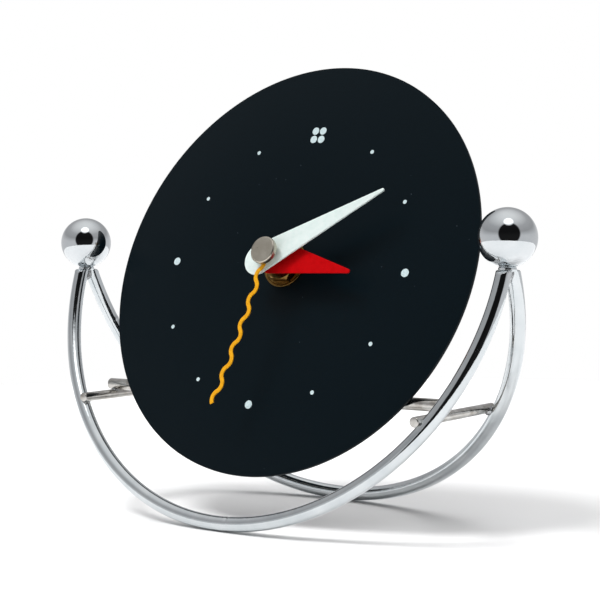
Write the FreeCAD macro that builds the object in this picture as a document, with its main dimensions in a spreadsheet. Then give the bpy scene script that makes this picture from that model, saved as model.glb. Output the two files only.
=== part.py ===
import FreeCAD, Part
import math
import os
import re
import Sketcher

# A battery clock on a chromed wire stand, in millimetres.
# +X is to the viewer's right, -Y is the front, +Z is up, and the stand rests on z = 0.
# The stand is two wire hoops that lean apart from a ball at each side. Two side rods and a
# crossbar tie them together, and a plate on the crossbar carries the clock head.
# The head is modelled in its own frame: its origin is the middle of the dial's front face,
# +Y runs up the dial towards twelve and +Z comes out of the dial towards the viewer.

SIZES = {
    # stand
    "ball_diameter": 18.0,
    "ball_spacing": 173.1,
    "ball_height": 91.2,
    "ball_shift": -2.7,
    "apex_height": 87.4,
    "foot_spread": 68.8,
    "wire_diameter": 4.77,
    "collar_diameter": 5.5,
    "collar_thickness": 0.9,
    "shoulder_height": 4.8,
    "shoulder_flare": 0.667,
    "stud_diameter": 3.0,
    "stud_length": 5.5,
    "stud_clearance": 0.05,
    "side_rod_diameter": 3.2,
    "side_rod_height": 37.5,
    "side_rod_overhang": 3.2,
    "crossbar_diameter": 4.0,
    "crossbar_overhang": 2.4,
    "weld_sink": 0.25,
    "plate_width": 30.0,
    "plate_thickness": 1.5,
    "plate_top": 14.0,
    "plate_foot": 5.0,
    # dial
    "dial_diameter": 144.9,
    "dial_thickness": 1.2,
    "dial_tilt": 21.3,
    "dial_turn": 2.4,
    "dial_height": 83.3,
    "dial_setback": 3.7,
    "mark_ring_diameter": 96.0,
    "mark_shift_x": -0.36,
    "mark_shift_y": -0.95,
    "mark_thickness": 0.08,
    "small_mark_diameter": 1.4,
    "large_mark_diameter": 2.8,
    "twelve_mark_diameter": 2.7,
    "twelve_mark_pitch": 3.1,
    # hub
    "bush_diameter": 8.0,
    "bush_length": 3.6,
    "bush_flange_diameter": 12.0,
    "bush_flange_thickness": 0.5,
    "bush_clearance": 0.1,
    "thread_clearance": 0.05,
    "washer_diameter": 16.5,
    "washer_thickness": 0.8,
    "nut_across_flats": 12.0,
    "nut_thickness": 2.0,
    "gasket_diameter": 18.0,
    "gasket_thickness": 0.8,
    "hour_tube_diameter": 5.0,
    "minute_tube_diameter": 3.4,
    "seconds_arbor_diameter": 1.1,
    "running_clearance": 0.05,
    # hands
    "hand_thickness": 0.6,
    "hour_hand_front": 7.8,
    "hour_hand_length": 32.3,
    "hour_hand_tail_radius": 6.0,
    "hour_hand_tail_centre": 0.2,
    "hour_hand_tip_radius": 0.7,
    "hour_hand_angle": 97.0,
    "hour_collet_diameter": 6.6,
    "hour_collet_length": 2.6,
    "minute_hand_front": 10.2,
    "minute_hand_length": 45.6,
    "minute_hand_tail_radius": 5.4,
    "minute_hand_tail_centre": 4.3,
    "minute_hand_tip_radius": 0.5,
    "minute_hand_angle": 59.3,
    "minute_collet_diameter": 5.8,
    "minute_collet_length": 1.3,
    "second_hand_front": 12.0,
    "second_hand_thickness": 0.4,
    "second_hand_length": 52.6,
    "second_hand_width": 1.4,
    "second_hand_hub_diameter": 4.4,
    "second_hand_angle": 186.0,
    "wave_length": 8.48,
    "wave_height": 0.88,
    "wave_bend": 0.72,
    "cap_diameter": 9.4,
    "cap_thickness": 2.0,
    "cap_edge_radius": 0.5,
    "cap_socket_depth": 0.8,
    "seconds_collet_diameter": 2.6,
    "seconds_collet_length": 0.9,
    # movement case
    "case_width": 56.0,
    "case_depth": 16.0,
    "case_wall": 1.5,
    "case_front_wall": 1.2,
    "case_corner_radius": 4.0,
    "cover_thickness": 1.2,
    "bay_divider": 1.2,
    "tail_gap": 1.0,
    "battery_diameter": 14.2,
    "battery_length": 49.2,
    "battery_nub_diameter": 5.5,
    "battery_nub_length": 1.2,
    "battery_play": 0.35,
    "contact_thickness": 0.4,
    "train_plate_front": 12.8,
    "train_plate_thickness": 1.0,
    "train_plate_width": 37.5,
    "train_plate_height": 35.0,
    "train_plate_middle_x": 6.25,
    "train_plate_middle_y": 7.6,
    "train_plate_foot_width": 10.0,
    "train_plate_foot_height": 10.6,
    "train_plate_foot_x": -17.0,
    "motor_row": -4.6,
    "post_diameter": 3.0,
    "pivot_diameter": 1.0,
    "pivot_boss_depth": 1.4,
    # wheel work: each "back" is a depth behind the dial's front face
    "wheel_thickness": 0.5,
    "motion_module": 0.5,
    "centre_module": 0.3,
    "seconds_module": 0.4,
    "rotor_module": 0.3,
    "hour_wheel_back": 6.0,
    "hour_wheel_thickness": 0.6,
    "minute_tube_back": 8.5,
    "cannon_pinion_back": 7.6,
    "cannon_pinion_thickness": 1.2,
    "reverser_wheel_back": 7.3,
    "reverser_pinion_back": 6.8,
    "reverser_pinion_thickness": 1.4,
    "knob_pinion_back": 7.4,
    "knob_pinion_thickness": 0.8,
    "third_wheel_back": 9.7,
    "third_pinion_back": 9.2,
    "third_pinion_thickness": 1.4,
    "third_arbor_front": 5.2,
    "seconds_wheel_back": 10.9,
    "seconds_pinion_back": 10.5,
    "seconds_pinion_thickness": 1.5,
    "intermediate_wheel_back": 11.9,
    "intermediate_pinion_back": 11.7,
    "intermediate_pinion_thickness": 1.6,
    "intermediate_post_length": 2.9,
    "rotor_pinion_back": 12.3,
    "rotor_pinion_thickness": 1.3,
    "rotor_shaft_front": 11.0,
    "pivot_overrun": 0.4,
    "knob_gap": 0.4,
    "knob_flute_diameter": 1.2,
    "knob_flute_ring_diameter": 13.2,
    "knob_diameter": 13.0,
    "knob_thickness": 2.6,
    "knob_shaft_diameter": 3.0,
    "magnet_diameter": 6.0,
    "magnet_thickness": 1.8,
    "stator_front": 14.9,
    "stator_thickness": 0.8,
    "stator_gap": 0.4,
    "stator_width": 14.9,
    "stator_height": 8.6,
    "stator_middle_x": -15.5,
    "stator_arm_width": 3.0,
    "stator_arm_height": 26.0,
    "stator_arm_x": -12.7,
    "stator_arm_y": 12.4,
    "stator_top_width": 13.5,
    "stator_top_x": -16.2,
    "stator_top_y": 24.6,
    "coil_core_width": 2.2,
    "coil_core_length": 31.6,
    "coil_core_y": 10.4,
    "bobbin_spool_diameter": 3.4,
    "bobbin_flange_overlap": 0.4,
    "coil_diameter": 5.8,
    "coil_length": 19.0,
    "bobbin_flange_thickness": 0.8,
    "board_thickness": 0.8,
    "crystal_diameter": 2.0,
    "board_width": 16.0,
    "board_height": 11.0,
    "board_middle_x": 16.6,
    "board_middle_y": -3.8,
    "chip_diameter": 5.0,
    "chip_thickness": 0.9,
    "chip_x": 13.0,
    "chip_y": -3.0,
    "crystal_length": 6.0,
    "crystal_x": 19.0,
    "crystal_y": -7.0,
    "contact_width": 10.0,
    "contact_inset": 0.2,
    "spring_diameter": 7.0,
    "spring_wire": 0.7,
}

# Numbers of teeth: the rotor drives the seconds wheel at 30 to 1, the seconds wheel drives the
# centre wheel at 60 to 1, and the motion work turns the hour wheel once in twelve hours.
ROTOR_PINION, INTERMEDIATE_WHEEL = 6, 36
INTERMEDIATE_PINION, SECONDS_WHEEL = 6, 30
SECONDS_PINION, THIRD_WHEEL = 8, 60
THIRD_PINION, CENTRE_WHEEL = 8, 64
CANNON_PINION, REVERSER_WHEEL = 10, 30
REVERSER_PINION, HOUR_WHEEL = 8, 32
KNOB_PINION = 12
KNOB_FLUTES = 18

# Directions, in degrees from +X of the head, in which the wheels off the middle stand.
THIRD_DIRECTION = 90.0
REVERSER_DIRECTION = 6.0
KNOB_DIRECTION = 40.0
INTERMEDIATE_DIRECTION = 200.0
ROTOR_DIRECTION = 200.0

# Length of a drill or a cutting block that passes right through what it cuts.
THROUGH = 30

document = FreeCAD.newDocument("WireStandClock")
parts = []


def fill_sheet():
    """Write every size into the sheet as a plain number with its name as alias."""
    sheet = document.addObject("Spreadsheet::Sheet", "Sizes")
    for row, (name, value) in enumerate(SIZES.items(), start=1):
        sheet.set("A%d" % row, name)
        sheet.set("B%d" % row, str(value))
        sheet.setAlias("B%d" % row, name)
    document.recompute()


def formula(text):
    """Turn each size name in a formula into a reference to the sheet."""
    def reference(match):
        return "Sizes." + match.group() if match.group() in SIZES else match.group()
    return re.sub(r"[a-z][a-z_]*", reference, str(text))


def bind(thing, x=0, y=0, z=0, **sizes):
    """Bind the sizes and the base point of an object to formulas."""
    for name, text in sizes.items():
        thing.setExpression(name, formula(text))
    for axis, text in (("x", x), ("y", y), ("z", z)):
        thing.setExpression("Placement.Base." + axis, formula(text))


def value(text):
    """Work a formula out as a number, for shapes that are drawn point by point."""
    return float(document.Sizes.evalExpression(formula(text)))


# ---- building blocks ----

def cylinder(label, diameter, height, x=0, y=0, z=0):
    """A round bar that stands on its base point, along Z."""
    shape = document.addObject("Part::Cylinder", label)
    bind(shape, x, y, z, Radius="(%s) / 2" % diameter, Height=height)
    return shape


def cone(label, lower_radius, upper_radius, height, x=0, y=0, z=0):
    shape = document.addObject("Part::Cone", label)
    bind(shape, x, y, z, Radius1=lower_radius, Radius2=upper_radius, Height=height)
    return shape


def block(label, width, depth, height, x=0, y=0, z=0):
    """A box with its base point in the middle of its lower face."""
    shape = document.addObject("Part::Box", label)
    left = "(%s) - (%s) / 2" % (x, width)
    near = "(%s) - (%s) / 2" % (y, depth)
    bind(shape, left, near, z, Length=width, Width=depth, Height=height)
    return shape


def rounded_block(label, width, depth, height, radius, z=0):
    """A box with its four upright edges rounded."""
    base = block(label + "_block", width, depth, height, 0, 0, z)
    document.recompute()
    upright = [
        (number, value(radius), value(radius))
        for number, edge in enumerate(base.Shape.Edges, start=1)
        if abs(edge.tangentAt(edge.FirstParameter).z) > 0.9
    ]
    shape = document.addObject("Part::Fillet", label)
    shape.Base = base
    shape.Edges = upright
    return shape


def union(label, *shapes):
    result = document.addObject("Part::MultiFuse", label)
    result.Shapes = list(shapes)
    return result


def cut(label, base, *tools):
    result = document.addObject("Part::Cut", label)
    result.Base = base
    result.Tool = tools[0] if len(tools) == 1 else union(label + "_tools", *tools)
    return result


def origin_plane(body, role):
    return next(plane for plane in body.Origin.OriginFeatures if plane.Role == role)


def new_sketch(body, label):
    """A sketch on the XY plane of a body."""
    sketch = body.newObject("Sketcher::SketchObject", label)
    sketch.AttachmentSupport = [(origin_plane(body, "XY_Plane"), "")]
    sketch.MapMode = "FlatFace"
    return sketch


def pad(body, sketch, thickness, label):
    feature = body.newObject("PartDesign::Pad", label)
    feature.Profile = sketch
    feature.setExpression("Length", formula(thickness))
    return feature


def add_circle(sketch, diameter, name):
    """A circle about the sketch's origin with its radius bound to a formula."""
    radius = value("(%s) / 2" % diameter)
    circle = Part.Circle(FreeCAD.Vector(0, 0, 0), FreeCAD.Vector(0, 0, 1), radius)
    number = sketch.addGeometry(circle, False)
    sketch.addConstraint(Sketcher.Constraint("Coincident", number, 3, -1, 1))
    rule = sketch.addConstraint(Sketcher.Constraint("Radius", number, radius))
    sketch.renameConstraint(rule, name)
    sketch.setExpression("Constraints." + name, formula("(%s) / 2" % diameter))


def ring(label, outer, thickness, z, inner=None, edge=None):
    """A padded disc, with a hole if inner is given and a rounded upper edge if edge is."""
    body = document.addObject("PartDesign::Body", label)
    sketch = new_sketch(body, label + "_sketch")
    sketch.setExpression("AttachmentOffset.Base.z", formula(z))
    add_circle(sketch, outer, "outer")
    if inner is not None:
        add_circle(sketch, inner, "inner")
    disc = pad(body, sketch, thickness, label + "_pad")
    document.recompute()
    if edge is not None:
        upper = [
            "Edge%d" % number
            for number, line in enumerate(disc.Shape.Edges, start=1)
            if line.BoundBox.ZMin > disc.Shape.BoundBox.ZMax - 1e-6
            and line.BoundBox.XLength > value(outer) * 0.9
        ]
        fillet = body.newObject("PartDesign::Fillet", label + "_edge")
        fillet.Base = (disc, upper)
        fillet.setExpression("Radius", formula(edge))
    return body


def extrusion(label, wire, thickness, z=0):
    """A flat shape drawn by a formula, given its thickness."""
    outline = document.addObject("Part::Feature", label + "_outline")
    outline.Shape = Part.Face(wire)
    shape = document.addObject("Part::Extrusion", label)
    shape.Base = outline
    shape.DirMode = "Custom"
    shape.Dir = FreeCAD.Vector(0, 0, 1)
    shape.Solid = True
    shape.setExpression("LengthFwd", formula(thickness))
    bind(shape, z=z)
    return shape


def keep(part, placement=None):
    """Take an object as a finished sub-part, and put it in its place if one is given."""
    if placement is not None:
        document.recompute()
        own_place = part.Placement
        for axis in "xyz":
            part.setExpression("Placement.Base." + axis, None)
        part.Placement = placement.multiply(own_place)
    parts.append(part)
    return part


# ---- stand ----

def hoop_numbers(side):
    """Lean, depth and radius of a hoop's circle: side is -1 at the front and 1 at the rear."""
    run = value("foot_spread / 2") + side * -value("ball_shift")
    rise = value("apex_height - wire_diameter / 2")
    slant = math.hypot(run, rise)
    half_spacing = value("ball_spacing / 2")
    radius = (slant ** 2 + half_spacing ** 2) / (2 * slant)
    return run / slant, rise / slant, slant - radius, radius


def wire_top():
    """Height at which the wires end under a ball's collar."""
    seat = math.sqrt(value("ball_diameter / 2") ** 2 - value("collar_diameter / 2") ** 2)
    return value("ball_height - collar_thickness") - seat


def shoulder_tool(label, x):
    """What is ground off the wires' ends, so that they taper to the collar."""
    radius = value("collar_diameter / 2") + 0.25
    height = value("shoulder_height")
    top = wire_top()
    drum = cylinder(label + "_drum", "1.3 * ball_diameter", height + THROUGH, x, "ball_shift",
                    top - height)
    core = cone(label + "_core", radius + height * value("shoulder_flare"), radius, height,
                x, "ball_shift", top - height)
    return cut(label, drum, core)


def hoop(label, side):
    """Half a torus that leans from the balls down to the floor."""
    lean_sine, lean_cosine, depth, radius = hoop_numbers(side)
    torus = document.addObject("Part::Torus", label + "_ring")
    torus.setExpression("Radius2", formula("wire_diameter / 2"))
    torus.Radius1 = radius
    middle = FreeCAD.Vector(0, value("ball_shift") + side * depth * lean_sine,
                            value("apex_height") - depth * lean_cosine)
    turn = -90 + side * math.degrees(math.asin(lean_sine))
    torus.Placement = FreeCAD.Placement(middle, FreeCAD.Rotation(FreeCAD.Vector(1, 0, 0), turn))
    beyond = block(label + "_beyond", 400, 400, 400, 0, "ball_shift - %d * 200" % side, 0)
    tools = [beyond]
    for name, x in (("left", "-ball_spacing / 2"), ("right", "ball_spacing / 2")):
        tools.append(shoulder_tool("%s_%s_shoulder" % (label, name), x))
    keep(cut(label, torus, *tools))


def ball(label, x):
    """A ball with a flat where its collar sits and a blind hole for the stud."""
    sphere = document.addObject("Part::Sphere", label + "_sphere")
    bind(sphere, x, "ball_shift", "ball_height", Radius="ball_diameter / 2")
    seat = wire_top() + value("collar_thickness")
    under = cylinder(label + "_flat", "ball_diameter", 6, x, "ball_shift", seat - 6)
    hole = cylinder(label + "_hole", "stud_diameter + 2 * stud_clearance",
                    "stud_length + stud_clearance", x, "ball_shift", seat)
    keep(cut(label, sphere, under, hole))


def ball_stud(label, x):
    """The collar that is welded to the wires' ends, and the stud that the ball screws onto."""
    collar = cylinder(label + "_collar", "collar_diameter", "collar_thickness",
                      x, "ball_shift", wire_top())
    stud = cylinder(label + "_pin", "stud_diameter", "collar_thickness + stud_length",
                    x, "ball_shift", wire_top())
    keep(union(label, collar, stud))


def side_rod_place():
    """Where a side rod lies inside both hoops: x, front end and rear end."""
    height = value("side_rod_height")
    touching = []
    ends = []
    for side in (-1, 1):
        lean_sine, lean_cosine, depth, radius = hoop_numbers(side)
        slant = (value("apex_height") - height) / lean_cosine
        inner = radius - value("(wire_diameter + side_rod_diameter) / 2")
        touching.append(math.sqrt(inner ** 2 - (slant - depth) ** 2))
        ends.append(value("ball_shift") + side * (slant * lean_sine + value("side_rod_overhang")))
    return max(touching) + value("weld_sink"), ends[0], ends[1]


def side_rod(label, side):
    """A straight rod from hoop to hoop, welded to the inside of both."""
    x, front, rear = side_rod_place()
    rod = document.addObject("Part::Cylinder", label)
    rod.setExpression("Radius", formula("side_rod_diameter / 2"))
    rod.Height = rear - front
    turn = FreeCAD.Rotation(FreeCAD.Vector(1, 0, 0), -90)
    rod.Placement = FreeCAD.Placement(FreeCAD.Vector(side * x, front, value("side_rod_height")), turn)
    keep(rod)


def dial_placement(turn):
    """The frame of the clock head: leaned back, and turned about the dial's own axis."""
    lean = FreeCAD.Rotation(FreeCAD.Vector(1, 0, 0), 90 - value("dial_tilt"))
    about_axis = FreeCAD.Rotation(FreeCAD.Vector(0, 0, 1), -turn)
    middle = FreeCAD.Vector(0, value("dial_setback"), value("dial_height"))
    return FreeCAD.Placement(middle, lean.multiply(about_axis))


def crossbar_place():
    """Middle of the crossbar: its height rests on the side rods, its depth on the plate."""
    height = value("side_rod_height + side_rod_diameter / 2 + crossbar_diameter / 2 - weld_sink")
    tilt = math.radians(value("dial_tilt"))
    behind = value("dial_thickness + plate_thickness + crossbar_diameter / 2 - weld_sink")
    up_dial = (height - value("dial_height") + behind * math.sin(tilt)) / math.cos(tilt)
    y = value("dial_setback") + up_dial * math.sin(tilt) + behind * math.cos(tilt)
    return y, height, up_dial


def crossbar():
    """The bar across the side rods."""
    y, height, _ = crossbar_place()
    reach = side_rod_place()[0] + value("crossbar_overhang")
    bar = document.addObject("Part::Cylinder", "crossbar")
    bar.setExpression("Radius", formula("crossbar_diameter / 2"))
    bar.Height = 2 * reach
    turn = FreeCAD.Rotation(FreeCAD.Vector(0, 1, 0), 90)
    bar.Placement = FreeCAD.Placement(FreeCAD.Vector(-reach, y, height), turn)
    keep(bar)


def mounting_plate():
    """A strip of sheet that is welded to the crossbar and stands behind the dial."""
    foot = crossbar_place()[2] - value("plate_foot")
    height = value("plate_top") - foot
    front = value("dial_thickness")
    strip = block("mounting_plate_strip", "plate_width", height, "plate_thickness",
                  0, foot + height / 2, -front - value("plate_thickness"))
    hole = cylinder("mounting_plate_hole", "bush_diameter + 2 * bush_clearance", THROUGH,
                    0, 0, -THROUGH / 2)
    keep(cut("mounting_plate", strip, hole), dial_placement(0))


def stand():
    hoop("front_hoop", -1)
    hoop("rear_hoop", 1)
    for name, x in (("left", "-ball_spacing / 2"), ("right", "ball_spacing / 2")):
        ball(name + "_ball", x)
        ball_stud(name + "_ball_stud", x)
    side_rod("left_side_rod", -1)
    side_rod("right_side_rod", 1)
    crossbar()
    mounting_plate()


# ---- dial and hub, all in the head's frame ----

def dial_plate():
    keep(ring("dial_plate", "dial_diameter", "dial_thickness", "-dial_thickness",
              "bush_diameter + 2 * bush_clearance"), HEAD)


def hour_marks():
    """Printed spots: one for each hour, larger at three, six and nine, and four at twelve."""
    spots = []
    radius = value("mark_ring_diameter / 2")
    for hour in range(1, 12):
        angle = math.radians(30 * hour)
        size = "large_mark_diameter" if hour % 3 == 0 else "small_mark_diameter"
        spots.append((radius * math.sin(angle), radius * math.cos(angle), size))
    half = value("twelve_mark_pitch / 2")
    for across in (-half, half):
        for up in (-half, half):
            spots.append((across, radius + up, "twelve_mark_diameter"))
    discs = []
    for number, (x, y, size) in enumerate(spots, start=1):
        discs.append(cylinder("mark_%d" % number, size, "mark_thickness",
                              x + value("mark_shift_x"), y + value("mark_shift_y"), 0))
    marks = document.addObject("Part::Compound", "hour_marks")
    marks.Links = discs
    keep(marks, HEAD)


def hub():
    """Threaded bush, washer, nut and gasket that clamp the dial and plate to the movement."""
    keep(ring("spindle_washer", "washer_diameter", "washer_thickness", 0,
              "bush_diameter + 2 * bush_clearance"), HEAD)
    prism = document.addObject("Part::Prism", "nut_prism")
    prism.Polygon = 6
    bind(prism, z="washer_thickness", Circumradius="nut_across_flats / sqrt(3)",
         Height="nut_thickness")
    bevel = cone("nut_bevel", "nut_across_flats / 2 + nut_thickness + 0.1",
                 "nut_across_flats / 2 + 0.1", "nut_thickness", 0, 0, "washer_thickness")
    drum = cylinder("nut_drum", "nut_across_flats * 2", "nut_thickness", 0, 0, "washer_thickness")
    hole = cylinder("nut_hole", "bush_diameter + 2 * thread_clearance", THROUGH, 0, 0, -1)
    keep(cut("spindle_nut", prism, cut("nut_corners", drum, bevel), hole), HEAD)
    keep(ring("rubber_gasket", "gasket_diameter", "gasket_thickness",
              "-dial_thickness - plate_thickness - gasket_thickness",
              "bush_diameter + 2 * bush_clearance"), HEAD)
    inside = "-(%s)" % FRONT_WALL_INSIDE
    barrel = cylinder("bush_barrel", "bush_diameter", "bush_length + %s" % FRONT_WALL_INSIDE,
                      0, 0, inside)
    flange = cylinder("bush_flange", "bush_flange_diameter", "bush_flange_thickness",
                      0, 0, "%s - bush_flange_thickness" % inside)
    bore = cylinder("bush_bore", "hour_tube_diameter + 2 * running_clearance", THROUGH,
                    0, 0, -THROUGH / 2)
    keep(cut("threaded_bush", union("bush_solid", barrel, flange), bore), HEAD)


# ---- hands ----

def hand_frame(angle):
    """A hand is drawn along +Y and then turned clockwise to its angle."""
    turn = FreeCAD.Rotation(FreeCAD.Vector(0, 0, 1), -value(angle))
    return HEAD.multiply(FreeCAD.Placement(FreeCAD.Vector(0, 0, 0), turn))


def tapered_hand(label, front, length, tail_radius, tail_centre, tip_radius, angle, hole):
    """A flat hand: a round tail and a small round tip joined by two tangent edges."""
    tip, tail = value(tip_radius), value(tail_radius)
    reach, back = value(length) - tip, value(tail_centre)
    lean = math.asin((tail - tip) / (reach + back))
    side, up = math.cos(lean), math.sin(lean)
    tail_middle = FreeCAD.Vector(0, -back, 0)
    tip_middle = FreeCAD.Vector(0, reach, 0)
    normal_right = FreeCAD.Vector(side, up, 0)
    normal_left = FreeCAD.Vector(-side, up, 0)
    corners = [
        tail_middle + normal_right * tail,
        tip_middle + normal_right * tip,
        tip_middle + normal_left * tip,
        tail_middle + normal_left * tail,
    ]
    edges = [
        Part.LineSegment(corners[0], corners[1]).toShape(),
        Part.Arc(corners[1], tip_middle + FreeCAD.Vector(0, tip, 0), corners[2]).toShape(),
        Part.LineSegment(corners[2], corners[3]).toShape(),
        Part.Arc(corners[3], tail_middle - FreeCAD.Vector(0, tail, 0), corners[0]).toShape(),
    ]
    blade = extrusion(label + "_blade", Part.Wire(edges), "hand_thickness",
                      "%s - hand_thickness" % front)
    bore = cylinder(label + "_bore", hole, THROUGH, 0, 0, -5)
    keep(cut(label, blade, bore), hand_frame(angle))


def wave_path():
    """Centres, radii and angles of the arcs that make the second hand's wave."""
    half_chord = value("wave_length / 4")
    height = value("wave_height")
    radius = (half_chord ** 2 + height ** 2) / (2 * height)
    half_turn = math.degrees(math.asin(half_chord / radius))
    start = value("second_hand_hub_diameter / 2") - 0.3
    count = round((value("second_hand_length") - start) / (2 * half_chord))
    bend = value("wave_bend")
    heading = 90 + half_turn + bend * count / 2
    point = FreeCAD.Vector(0, start, 0)
    arcs = []
    for number in range(count):
        turn_side = -1 if number % 2 == 0 else 1
        sweep = turn_side * 2 * half_turn - bend
        normal = math.radians(heading + turn_side * 90)
        middle = point + FreeCAD.Vector(math.cos(normal), math.sin(normal), 0) * radius
        begin = heading - turn_side * 90
        arcs.append((middle, radius, begin, begin + sweep, turn_side))
        finish = math.radians(begin + sweep)
        point = middle + FreeCAD.Vector(math.cos(finish), math.sin(finish), 0) * radius
        heading += sweep
    return arcs


def arc_edge(middle, radius, begin, finish):
    points = []
    for angle in (begin, (begin + finish) / 2, finish):
        turn = math.radians(angle)
        points.append(middle + FreeCAD.Vector(math.cos(turn), math.sin(turn), 0) * radius)
    return Part.Arc(*points).toShape()


def wave_wire():
    """The outline of the wavy ribbon: its two sides run beside the path, half a width away."""
    half = value("second_hand_width / 2")
    left, right = [], []
    for middle, radius, begin, finish, turn_side in wave_path():
        left.append(arc_edge(middle, radius + turn_side * -half, begin, finish))
        right.append(arc_edge(middle, radius + turn_side * half, begin, finish))
    first = Part.LineSegment(left[0].firstVertex(True).Point, right[0].firstVertex(True).Point)
    last = Part.LineSegment(left[-1].lastVertex(True).Point, right[-1].lastVertex(True).Point)
    edges = left + right + [first.toShape(), last.toShape()]
    return Part.Wire(Part.__sortEdges__(edges))


def second_hand():
    base = "second_hand_front - second_hand_thickness"
    ribbon = extrusion("second_hand_ribbon", wave_wire(), "second_hand_thickness", base)
    hub_disc = cylinder("second_hand_hub", "second_hand_hub_diameter", "second_hand_thickness",
                        0, 0, base)
    bore = cylinder("second_hand_bore", "seconds_arbor_diameter", THROUGH, 0, 0, -5)
    keep(cut("second_hand", union("second_hand_sheet", ribbon, hub_disc), bore),
         hand_frame("second_hand_angle"))


def hands():
    tapered_hand("hour_hand", "hour_hand_front", "hour_hand_length", "hour_hand_tail_radius",
                 "hour_hand_tail_centre", "hour_hand_tip_radius", "hour_hand_angle",
                 "hour_tube_diameter")
    tapered_hand("minute_hand", "minute_hand_front", "minute_hand_length",
                 "minute_hand_tail_radius", "minute_hand_tail_centre", "minute_hand_tip_radius",
                 "minute_hand_angle", "minute_tube_diameter")
    second_hand()
    keep(ring("hour_hand_collet", "hour_collet_diameter", "hour_collet_length",
              "hour_hand_front - hand_thickness - hour_collet_length",
              "hour_tube_diameter"), HEAD)
    keep(ring("minute_hand_collet", "minute_collet_diameter", "minute_collet_length",
              "minute_hand_front - hand_thickness - minute_collet_length",
              "minute_tube_diameter"), HEAD)
    keep(ring("second_hand_collet", "seconds_collet_diameter", "seconds_collet_length",
              "second_hand_front - second_hand_thickness - seconds_collet_length",
              "seconds_arbor_diameter"), HEAD)
    disc = ring("cap_disc", "cap_diameter", "cap_thickness", "second_hand_front",
                edge="cap_edge_radius")
    socket = cylinder("cap_socket", "seconds_arbor_diameter + 2 * running_clearance",
                      "cap_socket_depth + running_clearance", 0, 0, "second_hand_front")
    keep(cut("second_hand_cap", disc, socket), HEAD)


# ---- gears ----

# A tooth's height above and depth below the pitch circle in modules, and how far its corners lie
# from its middle in shares of the pitch, which leaves a little backlash.
TOOTH_TIP, TOOTH_ROOT = 0.8, 1.3
TOOTH_CORNERS = ((-0.24, False), (-0.08, True), (0.08, True), (0.24, False))

def polar(direction, distance):
    turn = math.radians(direction)
    return FreeCAD.Vector(distance * math.cos(turn), distance * math.sin(turn), 0)


def mesh_phase(direction, teeth, phase, other_teeth):
    """Phase of a gear that meshes with one whose middle lies against direction."""
    along = (direction - phase) * teeth / 360.0
    return direction + 180 + (0.5 + along) * 360.0 / other_teeth


def gear_wire(module, teeth, phase):
    """A closed outline of straight-sided teeth."""
    pitch = 360.0 / teeth
    root = module * teeth / 2 - TOOTH_ROOT * module
    tip = module * teeth / 2 + TOOTH_TIP * module
    points = []
    for tooth in range(teeth):
        middle = phase + tooth * pitch
        for share, at_tip in TOOTH_CORNERS:
            points.append(polar(middle + share * pitch, tip if at_tip else root))
    return Part.makePolygon(points + points[:1])


def gear(label, module, teeth, phase, thickness, z):
    return extrusion(label, gear_wire(value(module), teeth, phase), thickness, z)


# ---- wheel work, all in the head's frame ----

def wheel_middles():
    """Middles of the wheels that stand off the dial's axis."""
    motion = value("motion_module")
    third = polar(THIRD_DIRECTION, value("centre_module") * (THIRD_PINION + CENTRE_WHEEL) / 2)
    reverser = polar(REVERSER_DIRECTION, motion * (CANNON_PINION + REVERSER_WHEEL) / 2)
    knob = reverser + polar(KNOB_DIRECTION, motion * (KNOB_PINION + REVERSER_WHEEL) / 2)
    intermediate = polar(INTERMEDIATE_DIRECTION,
                         value("seconds_module") * (INTERMEDIATE_PINION + SECONDS_WHEEL) / 2)
    rotor = intermediate + polar(ROTOR_DIRECTION,
                                 value("rotor_module") * (ROTOR_PINION + INTERMEDIATE_WHEEL) / 2)
    return {"third": third, "reverser": reverser, "knob": knob,
            "intermediate": intermediate, "rotor": rotor}


def at(part, middle):
    """Shift a gear sideways to its middle."""
    part.setExpression("Placement.Base.x", str(middle.x))
    part.setExpression("Placement.Base.y", str(middle.y))
    return part


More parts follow.
